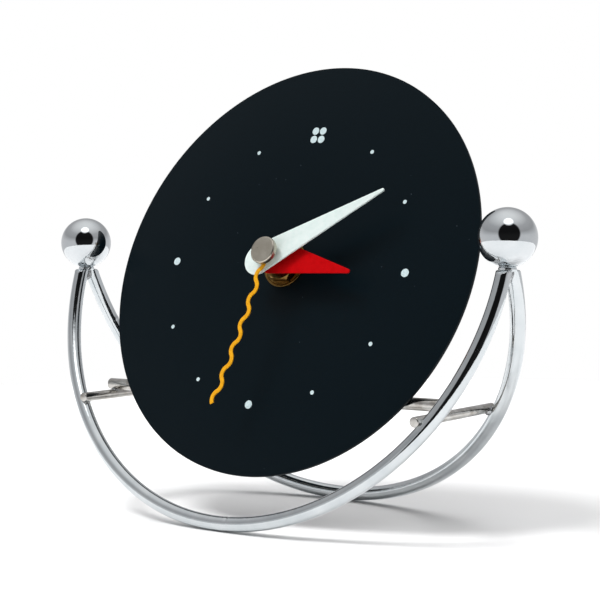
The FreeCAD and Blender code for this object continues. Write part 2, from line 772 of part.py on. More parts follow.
def motion_work():
    """The wheels that carry the two slow hands: minute tube, reverser and hour wheel."""
    motion = "motion_module"
    hour_wheel = gear("hour_wheel_rim", motion, HOUR_WHEEL, 0, "hour_wheel_thickness",
                      "-hour_wheel_back")
    hour_tube = cylinder("hour_tube", "hour_tube_diameter", "hour_hand_front + hour_wheel_back",
                         0, 0, "-hour_wheel_back")
    hour_bore = cylinder("hour_bore", "minute_tube_diameter + 2 * running_clearance", THROUGH,
                         0, 0, -THROUGH / 2)
    keep(cut("hour_wheel", union("hour_wheel_solid", hour_wheel, hour_tube), hour_bore), HEAD)

    centre = gear("centre_wheel_rim", "centre_module", CENTRE_WHEEL, 0, "wheel_thickness",
                  "-minute_tube_back")
    cannon = gear("cannon_pinion", motion, CANNON_PINION, 0, "cannon_pinion_thickness",
                  "-cannon_pinion_back")
    tube = cylinder("minute_tube", "minute_tube_diameter", "minute_hand_front + minute_tube_back",
                    0, 0, "-minute_tube_back")
    bore = cylinder("minute_bore", "seconds_arbor_diameter + 2 * running_clearance", THROUGH,
                    0, 0, -THROUGH / 2)
    keep(cut("centre_wheel", union("centre_wheel_solid", centre, cannon, tube), bore), HEAD)

    middle = MIDDLES["reverser"]
    wheel_phase = mesh_phase(REVERSER_DIRECTION, CANNON_PINION, 0, REVERSER_WHEEL)
    pinion_phase = mesh_phase(REVERSER_DIRECTION, HOUR_WHEEL, 0, REVERSER_PINION)
    wheel = at(gear("reverser_rim", motion, REVERSER_WHEEL, wheel_phase,
                    "hour_wheel_thickness", "-reverser_wheel_back"), middle)
    pinion = at(gear("reverser_pinion", motion, REVERSER_PINION, pinion_phase,
                     "reverser_pinion_thickness", "-reverser_pinion_back"), middle)
    hole = cylinder("reverser_hole", "post_diameter / 2 + 2 * running_clearance", THROUGH,
                    middle.x, middle.y, -THROUGH / 2)
    keep(cut("reverser_wheel", union("reverser_solid", wheel, pinion), hole), HEAD)

    spot = MIDDLES["knob"]
    knob_phase = mesh_phase(KNOB_DIRECTION, REVERSER_WHEEL, wheel_phase, KNOB_PINION)
    knob_gear = at(gear("knob_pinion", motion, KNOB_PINION, knob_phase,
                         "knob_pinion_thickness", "-knob_pinion_back"), spot)
    shaft_back = "%s + knob_gap" % CASE_BACK
    shaft = cylinder("knob_shaft", "knob_shaft_diameter",
                     "%s - knob_pinion_back + knob_pinion_thickness / 2" % shaft_back,
                     spot.x, spot.y, "-(%s)" % shaft_back)
    grip = cylinder("knob_grip", "knob_diameter", "knob_thickness", spot.x, spot.y,
                    "-(%s) - knob_thickness" % shaft_back)
    flutes = []
    for number in range(KNOB_FLUTES):
        place = spot + polar(number * 360 / KNOB_FLUTES, value("knob_flute_ring_diameter / 2"))
        flutes.append(cylinder("knob_flute_%d" % number, "knob_flute_diameter",
                               "2 * knob_thickness", place.x, place.y,
                               "-(%s) - 1.5 * knob_thickness" % shaft_back))
    keep(cut("setting_knob", union("knob_solid", knob_gear, shaft, grip), *flutes), HEAD)


def going_train():
    """The wheels between the rotor and the centre wheel."""
    third = MIDDLES["third"]
    pinion_phase = mesh_phase(THIRD_DIRECTION, CENTRE_WHEEL, 0, THIRD_PINION)
    third_phase = mesh_phase(THIRD_DIRECTION, SECONDS_PINION, 0, THIRD_WHEEL)
    wheel = at(gear("third_rim", THIRD_MODULE, THIRD_WHEEL, third_phase, "wheel_thickness",
                    "-third_wheel_back"), third)
    pinion = at(gear("third_pinion", "centre_module", THIRD_PINION, pinion_phase,
                     "third_pinion_thickness", "-third_pinion_back"), third)
    arbor = cylinder("third_arbor", "pivot_diameter", "%s + train_plate_thickness" % ARBOR_LENGTH,
                     third.x, third.y, "-train_plate_front - train_plate_thickness")
    keep(union("third_wheel", wheel, pinion, arbor), HEAD)

    wheel = gear("seconds_rim", "seconds_module", SECONDS_WHEEL, 0, "wheel_thickness",
                 "-seconds_wheel_back")
    pinion = gear("seconds_pinion", THIRD_MODULE, SECONDS_PINION, 0,
                  "seconds_pinion_thickness", "-seconds_pinion_back")
    arbor = cylinder("seconds_arbor", "seconds_arbor_diameter",
                     "second_hand_front + cap_socket_depth + train_plate_front"
                     " + train_plate_thickness", 0, 0,
                     "-train_plate_front - train_plate_thickness")
    keep(union("seconds_wheel", wheel, pinion, arbor), HEAD)

    middle = MIDDLES["intermediate"]
    pinion_phase = mesh_phase(INTERMEDIATE_DIRECTION, SECONDS_WHEEL, 0, INTERMEDIATE_PINION)
    wheel = at(gear("intermediate_rim", "rotor_module", INTERMEDIATE_WHEEL, 0,
                    "wheel_thickness", "-intermediate_wheel_back"), middle)
    pinion = at(gear("intermediate_pinion", "seconds_module", INTERMEDIATE_PINION, pinion_phase,
                     "intermediate_pinion_thickness", "-intermediate_pinion_back"), middle)
    hole = cylinder("intermediate_hole", "pivot_diameter + 2 * running_clearance", THROUGH,
                    middle.x, middle.y, -THROUGH)
    keep(cut("intermediate_wheel", union("intermediate_solid", wheel, pinion), hole), HEAD)

    spot = MIDDLES["rotor"]
    rotor_phase = mesh_phase(ROTOR_DIRECTION, INTERMEDIATE_WHEEL, 0, ROTOR_PINION)
    pinion = at(gear("rotor_pinion", "rotor_module", ROTOR_PINION, rotor_phase,
                     "rotor_pinion_thickness", "-rotor_pinion_back"), spot)
    magnet_middle = "-stator_front - stator_thickness / 2"
    magnet = cylinder("rotor_magnet", "magnet_diameter", "magnet_thickness", spot.x, spot.y,
                      "%s - magnet_thickness / 2" % magnet_middle)
    shaft = cylinder("rotor_shaft", "pivot_diameter",
                     "%s + pivot_overrun - rotor_shaft_front" % COVER_INSIDE,
                     spot.x, spot.y, "-(%s) - pivot_overrun" % COVER_INSIDE)
    keep(union("rotor", pinion, magnet, shaft), HEAD)


# ---- movement case ----

def front_case():
    """A square tray with a battery bay, a bore for the bush and posts for the train plate."""
    inside = "-(%s)" % FRONT_WALL_INSIDE
    mouth = "-(%s)" % COVER_INSIDE
    shell = rounded_block("case_shell", "case_width", "case_width",
                          "case_depth - cover_thickness", "case_corner_radius", mouth)
    hollow = rounded_block("case_hollow", "case_width - 2 * case_wall",
                           "case_width - 2 * case_wall",
                           "case_depth - cover_thickness - case_front_wall",
                           "case_corner_radius - case_wall", mouth)
    bore = cylinder("case_bore", "bush_diameter + 2 * thread_clearance", THROUGH,
                    0, 0, -THROUGH)
    depth = "case_depth - cover_thickness - case_front_wall - tail_gap"
    divider = block("case_divider", "case_width - case_wall", "bay_divider", depth,
                    0, DIVIDER_MIDDLE, "%s + tail_gap" % mouth)
    pieces = [cut("case_tray", shell, hollow, bore), divider]
    for number, (x, y) in enumerate(PLATE_POSTS, start=1):
        pieces.append(cylinder("case_post_%d" % number, "post_diameter",
                               "train_plate_front + (%s)" % inside, x, y, "-train_plate_front"))
    reverser = MIDDLES["reverser"]
    pieces.append(cylinder("reverser_post", "post_diameter / 2", "cannon_pinion_back + (%s)" % inside,
                           reverser.x, reverser.y, "-cannon_pinion_back"))
    third = MIDDLES["third"]
    boss = cylinder("third_boss", "pivot_diameter * 3", "pivot_boss_depth",
                    third.x, third.y, "%s - pivot_boss_depth" % inside)
    pivot = cylinder("third_pivot_hole", "pivot_diameter + 2 * running_clearance",
                     "pivot_boss_depth - 0.1", third.x, third.y,
                     "%s - pivot_boss_depth - 0.1" % inside)
    keep(cut("front_case", union("case_solid", *pieces, boss), pivot), HEAD)


def back_cover():
    """The lid behind the wheels, open over the battery bay, with a hole for the knob."""
    lid = rounded_block("cover_lid", "case_width", "case_width", "cover_thickness",
                        "case_corner_radius", "-(%s)" % CASE_BACK)
    window = block("cover_window", "case_width - 2 * case_wall", BAY_WIDTH, THROUGH,
                   0, BATTERY_ROW, -THROUGH)
    knob = MIDDLES["knob"]
    hole = cylinder("cover_knob_hole", "knob_shaft_diameter + 2 * running_clearance", THROUGH,
                    knob.x, knob.y, -THROUGH)
    rotor = MIDDLES["rotor"]
    keep(cut("back_cover", lid, window, hole,
             cylinder("cover_rotor_hole", "pivot_diameter + 2 * running_clearance",
                      "2 * pivot_overrun", rotor.x, rotor.y,
                      "-(%s) - pivot_overrun - 0.2" % COVER_INSIDE)), HEAD)


def train_plate():
    """The inner plate that holds the wheels' rear pivots, the stator and the circuit board."""
    front = "-train_plate_front"
    back = "-train_plate_front - train_plate_thickness"
    sheet = block("plate_sheet", "train_plate_width", "train_plate_height",
                  "train_plate_thickness", "train_plate_middle_x", "train_plate_middle_y", back)
    middle = MIDDLES["intermediate"]
    rotor = MIDDLES["rotor"]
    foot = block("plate_foot", "train_plate_foot_width", "train_plate_foot_height",
                 "train_plate_thickness", "train_plate_foot_x", "motor_row", back)
    post = cylinder("intermediate_post", "pivot_diameter", "intermediate_post_length",
                    middle.x, middle.y, front)
    holes = [cylinder("plate_hole_%s" % name, "pivot_diameter + 2 * running_clearance", THROUGH,
                      spot.x, spot.y, -THROUGH)
             for name, spot in (("rotor", rotor), ("third", MIDDLES["third"]))]
    holes.append(cylinder("plate_hole_seconds", "seconds_arbor_diameter + 2 * running_clearance",
                          THROUGH, 0, 0, -THROUGH))
    holes.append(cylinder("plate_hole_knob", "1.2 * knob_shaft_diameter", THROUGH,
                          MIDDLES["knob"].x, MIDDLES["knob"].y, -THROUGH))
    pads = [cylinder("plate_pad_%d" % number, "post_diameter", "stator_front - train_plate_front"
                     " - train_plate_thickness", x, y, "-stator_front")
            for number, (x, y) in enumerate(STATOR_PADS + BOARD_PADS, start=1)]
    keep(cut("train_plate", union("plate_solid", sheet, foot, post, *pads), *holes), HEAD)


def motor():
    """Stator sheet, coil core with its bobbin, and the winding."""
    rotor = MIDDLES["rotor"]
    z = "-stator_front - stator_thickness"
    sheet = block("stator_sheet", "stator_width", "stator_height", "stator_thickness",
                  "stator_middle_x", "motor_row", z)
    arm = block("stator_arm", "stator_arm_width", "stator_arm_height", "stator_thickness",
                "stator_arm_x", "stator_arm_y", z)
    top = block("stator_top", "stator_top_width", "stator_arm_width", "stator_thickness",
                "stator_top_x", "stator_top_y", z)
    gap = cylinder("stator_gap_hole", "magnet_diameter + 2 * stator_gap", THROUGH,
                   rotor.x, rotor.y, -THROUGH)
    keep(cut("stator", union("stator_solid", sheet, arm, top), gap), HEAD)
    core_z = "-stator_front"
    core = block("coil_core", "coil_core_width", "coil_core_length", "stator_thickness",
                 -COIL_X, "coil_core_y", core_z)
    flange_y = ("%f - coil_length / 2" % COIL_Y,
                "%f + coil_length / 2 - bobbin_flange_thickness" % COIL_Y)
    ends = [along_y("bobbin_end_%d" % number, "coil_diameter + bobbin_flange_overlap",
                    "bobbin_flange_thickness", y)
            for number, y in enumerate(flange_y, start=1)]
    spool = along_y("bobbin_spool", "bobbin_spool_diameter", "coil_length", flange_y[0])
    keep(union("coil_bobbin", core, spool, *ends), HEAD)
    wound = along_y("winding_solid", "coil_diameter", "coil_length - 2 * bobbin_flange_thickness",
                    "%s + bobbin_flange_thickness" % flange_y[0])
    inner = along_y("winding_hole", "bobbin_spool_diameter", 2 * THROUGH, COIL_Y - THROUGH)
    keep(cut("coil_winding", wound, inner), HEAD)


def along_y(label, diameter, length, y):
    """A round bar along the coil's own axis."""
    bar = cylinder(label, diameter, length, -COIL_X, y, "-stator_front + stator_thickness / 2")
    return laid(bar, FreeCAD.Vector(1, 0, 0), -90)


def along_x(label, diameter, length, x):
    """A round bar along the battery's axis."""
    bar = cylinder(label, diameter, length, x, BATTERY_ROW, BATTERY_LEVEL)
    return laid(bar, FreeCAD.Vector(0, 1, 0), 90)


def laid(bar, axis, angle):
    """Lay an upright bar down about its base point."""
    bar.Placement = FreeCAD.Placement(bar.Placement.Base, FreeCAD.Rotation(axis, angle))
    return bar


def electronics():
    """Circuit board with its chip and crystal, the battery and its two contacts."""
    board_back = "-stator_front - board_thickness"
    keep(block("circuit_board", "board_width", "board_height", "board_thickness",
               "board_middle_x", "board_middle_y", board_back), HEAD)
    keep(cylinder("chip", "chip_diameter", "chip_thickness", "chip_x", "chip_y",
                  "%s - chip_thickness" % board_back), HEAD)
    can = cylinder("quartz_crystal", "crystal_diameter", "crystal_length",
                   "crystal_x", "crystal_y",
                   "%s - crystal_diameter / 2" % board_back)
    keep(laid(can, FreeCAD.Vector(1, 0, 0), -90), HEAD)


def battery():
    """A size AA cell with its nub against the right-hand contact."""
    nub_start = "%s - battery_nub_length" % CONTACT_FACE
    body = along_x("battery_body", "battery_diameter", "battery_length",
                   "%s - battery_length" % nub_start)
    nub = along_x("battery_nub", "battery_nub_diameter", "battery_nub_length", nub_start)
    keep(union("aa_battery", body, nub), HEAD)


def contacts():
    """Sheet contacts at both ends of the bay, each with a tail that reaches the board."""
    level = "-(%s) + contact_inset" % COVER_INSIDE
    height = "case_depth - cover_thickness - case_front_wall - 3 * contact_inset"
    sheet = "contact_thickness"
    edge = "%s + contact_thickness" % CONTACT_FACE
    plate = block("positive_plate", sheet, "contact_width", height,
                  "%s + contact_thickness / 2" % CONTACT_FACE, BATTERY_ROW, level)
    tail = block("positive_tail", 1.2, 8.6, sheet, "%s - 0.6" % edge, -10.2, level)
    foot = block("positive_foot", 2.9, 2.0, sheet, "%s - 1.45" % edge, -7.0, level)
    leg = block("positive_leg", 1.0, sheet, 2.4, 24.1, -7.0, level)
    keep(union("positive_contact", plate, tail, foot, leg), HEAD)

    plate = block("negative_plate", sheet, "contact_width", height,
                  "-(%s) - contact_thickness / 2" % CONTACT_FACE, BATTERY_ROW, level)
    link = block("negative_link", 1.6, 5.0, sheet, "0.8 - (%s)" % edge, -12.2, level)
    strip = block("negative_strip", "%s + 11" % edge, 1.8, sheet, "(11 - (%s)) / 2" % edge,
                  DIVIDER_MIDDLE, level)
    foot = block("negative_foot", 1.6, 3.2, sheet, 10.2, -9.9, level)
    leg = block("negative_leg", 1.6, sheet, 2.4, 10.2, -8.5, level)
    spring = along_x("negative_spring", "spring_diameter", NEGATIVE_SPRING, "-(%s)" % CONTACT_FACE)
    inner = along_x("negative_spring_hole", "spring_diameter - 2 * spring_wire", 10,
                    "0.001 - (%s)" % CONTACT_FACE)
    coil = cut("negative_coil", spring, inner)
    keep(union("negative_contact", plate, link, strip, foot, leg, coil), HEAD)


# ---- building and writing ----

def check_document():
    """Stop if any object failed or any sub-part isn't one valid set of solids."""
    for thing in document.Objects:
        if "Invalid" in thing.State or "Error" in thing.State:
            raise RuntimeError("failed object: " + thing.Label)
    for part in parts:
        if part.Shape.isNull() or not part.Shape.isValid() or not part.Shape.Solids:
            raise RuntimeError("bad shape: " + part.Label)


def write_parts():
    os.makedirs("parts", exist_ok=True)
    for part in parts:
        part.Shape.exportStep("parts/%s.step" % part.Label)


fill_sheet()

# Depths behind the dial's front face, as formulas of the sizes.
FRONT_WALL_OUTSIDE = "dial_thickness + plate_thickness + gasket_thickness"
FRONT_WALL_INSIDE = FRONT_WALL_OUTSIDE + " + case_front_wall"
CASE_BACK = FRONT_WALL_OUTSIDE + " + case_depth"
COVER_INSIDE = FRONT_WALL_OUTSIDE + " + case_depth - cover_thickness"
BATTERY_LEVEL = "-(" + FRONT_WALL_INSIDE + ") - 0.3 - battery_diameter / 2"
# Places across the case: the battery lies along its lower side.
BAY_WIDTH = "battery_diameter + 2 * battery_play"
BATTERY_ROW = "-case_width / 2 + case_wall + battery_play + battery_diameter / 2"
DIVIDER_MIDDLE = BATTERY_ROW + " + battery_diameter / 2 + battery_play + bay_divider / 2"
CONTACT_FACE = "case_width / 2 - case_wall - contact_thickness"
NEGATIVE_SPRING = "2 * (" + CONTACT_FACE + ") - battery_length - battery_nub_length"
ARBOR_LENGTH = "train_plate_front - third_arbor_front"
# Both pairs between the seconds and centre wheels share their distance apart.
THIRD_MODULE = "centre_module * %d / %d" % (THIRD_PINION + CENTRE_WHEEL,
                                            SECONDS_PINION + THIRD_WHEEL)
PLATE_POSTS = [(-10.8, -9.3), (24.0, -7.5), (24.0, 24.0), (-11.0, 24.0)]
STATOR_PADS = [(-17.3, -7.2), (-17.3, -2.0), (-11.8, 20.0)]
BOARD_PADS = [(10.5, -7.5), (22.5, -6.5), (16.6, 0.2)]
COIL_X, COIL_Y = 20.5, 12.0
MIDDLES = wheel_middles()
HEAD = dial_placement(value("dial_turn"))

stand()
dial_plate()
hour_marks()
hub()
hands()
motion_work()
going_train()
front_case()
back_cover()
train_plate()
motor()
electronics()
battery()
contacts()
document.recompute()
check_document()
write_parts()
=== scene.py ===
import math

import bmesh
import bpy
from mathutils import Matrix, Vector, noise


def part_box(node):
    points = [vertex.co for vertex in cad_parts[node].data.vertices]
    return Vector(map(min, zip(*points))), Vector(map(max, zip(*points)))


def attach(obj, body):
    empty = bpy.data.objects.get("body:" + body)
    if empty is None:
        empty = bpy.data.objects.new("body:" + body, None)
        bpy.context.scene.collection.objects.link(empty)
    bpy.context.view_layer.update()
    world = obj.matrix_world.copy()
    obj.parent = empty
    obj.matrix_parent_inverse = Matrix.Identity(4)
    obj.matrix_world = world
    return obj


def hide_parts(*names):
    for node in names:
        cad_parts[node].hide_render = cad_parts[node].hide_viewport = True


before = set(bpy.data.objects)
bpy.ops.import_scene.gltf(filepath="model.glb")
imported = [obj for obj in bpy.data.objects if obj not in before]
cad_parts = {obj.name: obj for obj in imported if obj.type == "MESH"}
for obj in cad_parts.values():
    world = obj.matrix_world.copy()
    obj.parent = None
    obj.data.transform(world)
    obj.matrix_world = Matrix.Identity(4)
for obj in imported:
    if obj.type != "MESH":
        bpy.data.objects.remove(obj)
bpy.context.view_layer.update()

MM = 0.001


# ---- hoops ----
# Two half hoops of 3/16 inch steel wire, bent round a former, their ends ground to a dome under
# each ball, and plated in bright chrome. They lean apart, one to the front and one to the rear.

def linear(code):
    """An sRGB hex colour as the linear colour that a shader takes."""
    channels = [int(code[place:place + 2], 16) / 255 for place in (1, 3, 5)]
    return [c / 12.92 if c <= 0.04045 else ((c + 0.055) / 1.055) ** 2.4 for c in channels] + [1.0]


def add(tree, kind, inputs=None, **settings):
    """A node with its settings; each input is given a value or the output that it is linked to."""
    node = tree.nodes.new(kind)
    for name, setting in settings.items():
        setattr(node, name, setting)
    for socket, given in (inputs or {}).items():
        if isinstance(given, bpy.types.NodeSocket):
            tree.links.new(given, node.inputs[socket])
        else:
            node.inputs[socket].default_value = given
    return node


def new_material(name, colour, metallic, roughness, **others):
    """A material with its constants on the shader's own sockets, and the shader itself."""
    material = bpy.data.materials.new(name)
    material.use_nodes = True
    shader = material.node_tree.nodes["Principled BSDF"]
    shader.inputs["Base Color"].default_value = linear(colour)
    shader.inputs["Metallic"].default_value = metallic
    shader.inputs["Roughness"].default_value = roughness
    for name, value in others.items():
        shader.inputs[name.replace("_", " ")].default_value = value
    return material, shader


def uneven(shader, size, colours=None, rough=None, depth=None, detail=4.0):
    """Patches of a size in mm that shift the colour and the roughness and raise the surface."""
    tree = shader.id_data
    point = add(tree, "ShaderNodeTexCoord").outputs["Object"]
    cloud = add(tree, "ShaderNodeTexNoise", {"Vector": point, "Scale": 1 / (size * MM),
                                             "Detail": detail})
    spread = add(tree, "ShaderNodeMapRange", {"Value": cloud.outputs[0], "From Min": 0.3,
                                              "From Max": 0.7}).outputs[0]
    if colours:
        mixed = add(tree, "ShaderNodeMix", {0: spread, 6: linear(colours[0]), 7: linear(colours[1])},
                    data_type="RGBA")
        tree.links.new(mixed.outputs[2], shader.inputs["Base Color"])
    if rough:
        scaled = add(tree, "ShaderNodeMapRange", {"Value": spread, "To Min": rough[0],
                                                  "To Max": rough[1]})
        tree.links.new(scaled.outputs[0], shader.inputs["Roughness"])
    if depth:
        raised = add(tree, "ShaderNodeBump", {"Height": spread, "Distance": depth * MM})
        tree.links.new(raised.outputs[0], shader.inputs["Normal"])


def put(name, mesh, material, body, slot, *stands_for, place=None, crisp=35):
    """A finished piece: its place goes into its mesh, and it rides on a body."""
    mesh.name = name
    if place is not None:
        mesh.transform(place)
    mesh.materials.clear()
    mesh.materials.append(material)
    for face in mesh.polygons:
        face.material_index = 0
        face.use_smooth = True
    mesh.set_sharp_from_angle(angle=math.radians(crisp))
    piece = bpy.data.objects.new(name, mesh)
    bpy.context.scene.collection.objects.link(piece)
    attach(piece, body)
    if stands_for:
        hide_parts(*stands_for)


def to_mesh(built, outward=True):
    """A bmesh as a mesh with its doubles merged and its faces pointing outward."""
    bmesh.ops.remove_doubles(built, verts=built.verts, dist=1e-7)
    bmesh.ops.dissolve_degenerate(built, edges=built.edges, dist=1e-7)
    if outward:
        bmesh.ops.recalc_face_normals(built, faces=built.faces)
    mesh = bpy.data.meshes.new("mesh")
    built.to_mesh(mesh)
    built.free()
    return mesh


def grown(tree, **sizes):
    """The plain mesh that a Geometry Nodes tree makes from its named sizes."""
    seed = bpy.data.objects.new("seed", bpy.data.meshes.new("seed"))
    bpy.context.scene.collection.objects.link(seed)
    modifier = seed.modifiers.new("grow", "NODES")
    modifier.node_group = tree
    for item in tree.interface.items_tree:
        if item.in_out == "INPUT" and item.name in sizes:
            modifier[item.identifier] = sizes[item.name]
    bpy.context.view_layer.update()
    mesh = bpy.data.meshes.new_from_object(seed.evaluated_get(bpy.context.evaluated_depsgraph_get()))
    seed.modifiers.remove(modifier)
    bpy.data.objects.remove(seed)
    return mesh


def new_tree(name, **inputs):
    """An empty Geometry Nodes tree with named inputs, and its input and output nodes."""
    tree = bpy.data.node_groups.new(name, "GeometryNodeTree")
    for label, (kind, default) in inputs.items():
        socket = tree.interface.new_socket(label, in_out="INPUT", socket_type="NodeSocket" + kind)
        socket.default_value = default
    tree.interface.new_socket("Geometry", in_out="OUTPUT", socket_type="NodeSocketGeometry")
    return tree, add(tree, "NodeGroupInput"), add(tree, "NodeGroupOutput")


def close_tree(tree, out, geometry, material):
    """End a tree in Realize Instances and Set Material."""
    real = add(tree, "GeometryNodeRealizeInstances", {"Geometry": geometry})
    dressed = add(tree, "GeometryNodeSetMaterial", {"Geometry": real.outputs[0]})
    dressed.inputs["Material"].default_value = material
    tree.links.new(dressed.outputs[0], out.inputs[0])


BALL_X = 173.1 / 2
BALL_Y = -2.7
BALL_LEVEL = 91.2
APEX_LEVEL = 87.4
FOOT_SPREAD = 68.8
WIRE = 4.77
BALL = 18.0
COLLAR = 5.5
COLLAR_HEIGHT = 0.9
WIRE_TOP = BALL_LEVEL - COLLAR_HEIGHT - math.sqrt((BALL / 2) ** 2 - (COLLAR / 2) ** 2)
ARC_STEPS, WIRE_SIDES = 560, 80
SPARE_END = 1.4
MARK_WIDTH = 0.35
DOME_DEPTH, DOME_GROWTH = 3, 2.3

# Bright chrome over drawn steel wire: a mirror that still shows the long, shallow waves of the
# drawing and a faint bloom of finger grease, so its streaks aren't perfectly straight.
chrome, shader = new_material("bright_chrome_on_steel_wire", "#ccd1d4", 1.0, 0.06)
uneven(shader, 9.0, colours=("#c4cacd", "#d4d8da"), rough=(0.035, 0.10), detail=3.0)
uneven(shader, 2.2, depth=0.012, detail=2.0)

tree, given, out = new_tree("bent_wire", Radius=("Float", 0.09), Wire=("Float", 0.002),
                            Start=("Float", 0.0), Sweep=("Float", 3.0))
arc = add(tree, "GeometryNodeCurveArc", {"Resolution": ARC_STEPS, "Radius": given.outputs["Radius"],
                                         "Start Angle": given.outputs["Start"],
                                         "Sweep Angle": given.outputs["Sweep"]})
profile = add(tree, "GeometryNodeCurvePrimitiveCircle", {"Resolution": WIRE_SIDES,
                                                         "Radius": given.outputs["Wire"]})
swept = add(tree, "GeometryNodeCurveToMesh", {"Curve": arc.outputs[0], "Fill Caps": True,
                                              "Profile Curve": profile.outputs[0]})
close_tree(tree, out, swept.outputs[0], chrome)

# Each wire is marked once, at an angle from its foot in degrees, and to a depth in mm.
for node, side, mark_angle, mark_depth in (("front_hoop", -1, 3.6, -0.10),
                                           ("rear_hoop", 1, -76.0, 0.10)):
    run = FOOT_SPREAD / 2 - side * BALL_Y
    rise = APEX_LEVEL - WIRE / 2
    slant = math.hypot(run, rise)
    radius = (slant ** 2 + BALL_X ** 2) / (2 * slant)
    down = Vector((0, side * run / slant, -rise / slant))
    middle = Vector((0, BALL_Y, APEX_LEVEL)) + down * (slant - radius)
    # The wire starts a little above its ground end, and is then trimmed to it.
    reach = math.acos((middle.z - WIRE_TOP - SPARE_END) / (radius * rise / slant))
    mesh = grown(tree, Radius=radius * MM, Wire=WIRE / 2 * MM, Start=math.pi / 2 - reach,
                 Sweep=2 * reach)
    across = Vector((1, 0, 0))
    built = bmesh.new()
    built.from_mesh(mesh)
    for vert in built.verts:
        local = vert.co / MM
        bend = math.atan2(local.x, local.y)
        core = Vector((math.sin(bend), math.cos(bend), 0)) * radius
        # A small mark goes round the wire where its two lengths meet.
        away = abs(math.degrees(bend) - mark_angle) * radius * math.pi / 180
        swell = mark_depth / (WIRE / 2) * math.exp(-(away / MARK_WIDTH) ** 2)
        local = core + (local - core) * (1 + swell)
        point = middle + across * local.x + down * local.y + across.cross(down) * local.z
        tangent = across * math.cos(bend) - down * math.sin(bend)
        if point.z > WIRE_TOP and abs(tangent.z) > 0.3:
            point -= tangent * ((point.z - WIRE_TOP) / tangent.z)
        # The ends are ground to a dome about the ball's axis, and the wires meet on a flat.
        spot = Vector((math.copysign(BALL_X, point.x), BALL_Y))
        off = point.xy - spot
        limit = COLLAR / 2 + 0.1 + DOME_GROWTH * math.sqrt(max(WIRE_TOP - point.z, 0))
        if point.z > WIRE_TOP - DOME_DEPTH and off.length > limit:
            off *= limit / off.length
            point.x, point.y = spot + off
        point.y = BALL_Y + side * max(side * (point.y - BALL_Y), 0)
        vert.co = point * MM
    put(node + "_wire", to_mesh(built), chrome, "stand", "chrome", node, crisp=50)


# ---- balls and their studs ----
# A turned steel ball at each side, polished and chromed, with a flat underneath. It screws onto a
# stud whose collar is welded to the ends of both wires.

def turned(profile, steps=96):
    """What a lathe makes of a closed outline of (radius, height) points in mm."""
    built = bmesh.new()
    rings = []
    for step in range(steps):
        angle = 2 * math.pi * step / steps
        rings.append([built.verts.new((r * MM * math.cos(angle), r * MM * math.sin(angle), z * MM))
                      for r, z in profile])
    count = len(profile)
    for step in range(steps):
        here, there = rings[step], rings[(step + 1) % steps]
        for spot in range(count):
            after = (spot + 1) % count
            if profile[spot][0] < 1e-6 and profile[after][0] < 1e-6:
                continue
            corners = [here[spot], there[spot], there[after], here[after]]
            if profile[spot][0] < 1e-6:
                corners.pop(1)
            elif profile[after][0] < 1e-6:
                corners.pop(2)
            built.faces.new(corners)
    return to_mesh(built)


def rounded(corners, radius, steps=4):
    """An outline with each of its corners rounded."""
    outline = []
    count = len(corners)
    for number, corner in enumerate(corners):
        if corner[0] < 1e-6:
            outline.append(corner)
            continue
        here = Vector(corner)
        before = Vector(corners[number - 1]) - here
        after = Vector(corners[(number + 1) % count]) - here
        cut = min(radius, before.length * 0.45, after.length * 0.45)
        start, finish = here + before.normalized() * cut, here + after.normalized() * cut
        for step in range(steps + 1):
            share = step / steps
            point = start * (1 - share) ** 2 + here * 2 * share * (1 - share) + finish * share ** 2
            outline.append(tuple(point))
    return outline


# Polished chrome on a turned ball: closer to a perfect mirror than the wire.
ball_chrome, shader = new_material("polished_chrome_on_turned_steel", "#ced2d5", 1.0, 0.03)
uneven(shader, 7.0, colours=("#c8cdd0", "#d5d8da"), rough=(0.015, 0.06), detail=3.0)
# Chrome that ran thin and dull over a brazed joint.
weld_chrome, shader = new_material("dull_chrome_over_brazing", "#a9acae", 1.0, 0.25)
uneven(shader, 1.3, colours=("#6e6f70", "#c4c6c8"), rough=(0.12, 0.4), depth=0.12, detail=5.0)

FLAT = math.asin(COLLAR / BALL)
BALL_STEPS = 64
STUD = 1.5
for name, side in (("left", -1), ("right", 1)):
    here = Matrix.Translation(Vector((side * BALL_X, BALL_Y, BALL_LEVEL)) * MM)
    outline = []
    for step in range(BALL_STEPS + 1):
        angle = FLAT + (math.pi - FLAT) * step / BALL_STEPS
        outline.append((BALL / 2 * math.sin(angle), -BALL / 2 * math.cos(angle)))
    outline[-1] = (0, BALL / 2)
    outline.append((0, outline[0][1]))
    put(name + "_steel_ball", turned(outline, 128), ball_chrome, "stand", "chrome", name + "_ball",
        place=here)
    low = WIRE_TOP - BALL_LEVEL
    collar = rounded([(0, low - 0.6), (COLLAR / 2 - 0.25, low - 0.6), (COLLAR / 2, low),
                      (COLLAR / 2, low + 0.55), (COLLAR / 2 - 0.3, low + COLLAR_HEIGHT),
                      (STUD, low + COLLAR_HEIGHT), (STUD, low + 5.5), (0, low + 5.5)], 0.15)
    put(name + "_collar", turned(collar, 64), chrome, "stand", "chrome", name + "_ball_stud",
        place=here)


def bead(middle, size, seed):
    """A lump of weld metal: rounded, and uneven as it froze."""
    built = bmesh.new()
    bmesh.ops.create_icosphere(built, subdivisions=4, radius=1)
    for vert in built.verts:
        ripple = noise.noise(vert.co * 1.6 + Vector((seed, 0, 0))) * 0.16
        ripple += noise.noise(vert.co * 4.5 + Vector((0, seed, 0))) * 0.05
        shape = vert.co * (1 + ripple)
        vert.co = (Vector(middle) + Vector(a * b for a, b in zip(shape, size))) * MM
    return to_mesh(built)


for seed, (name, side) in enumerate((("left", -1), ("right", 1))):
    # Weld metal fills the fork between the wires for about four millimetres under the collar.
    put(name + "_fork_weld", bead((side * BALL_X, BALL_Y, WIRE_TOP - 1.3), (1.75, 2.3, 2.9), seed + 3),
        weld_chrome, "stand", "chrome")


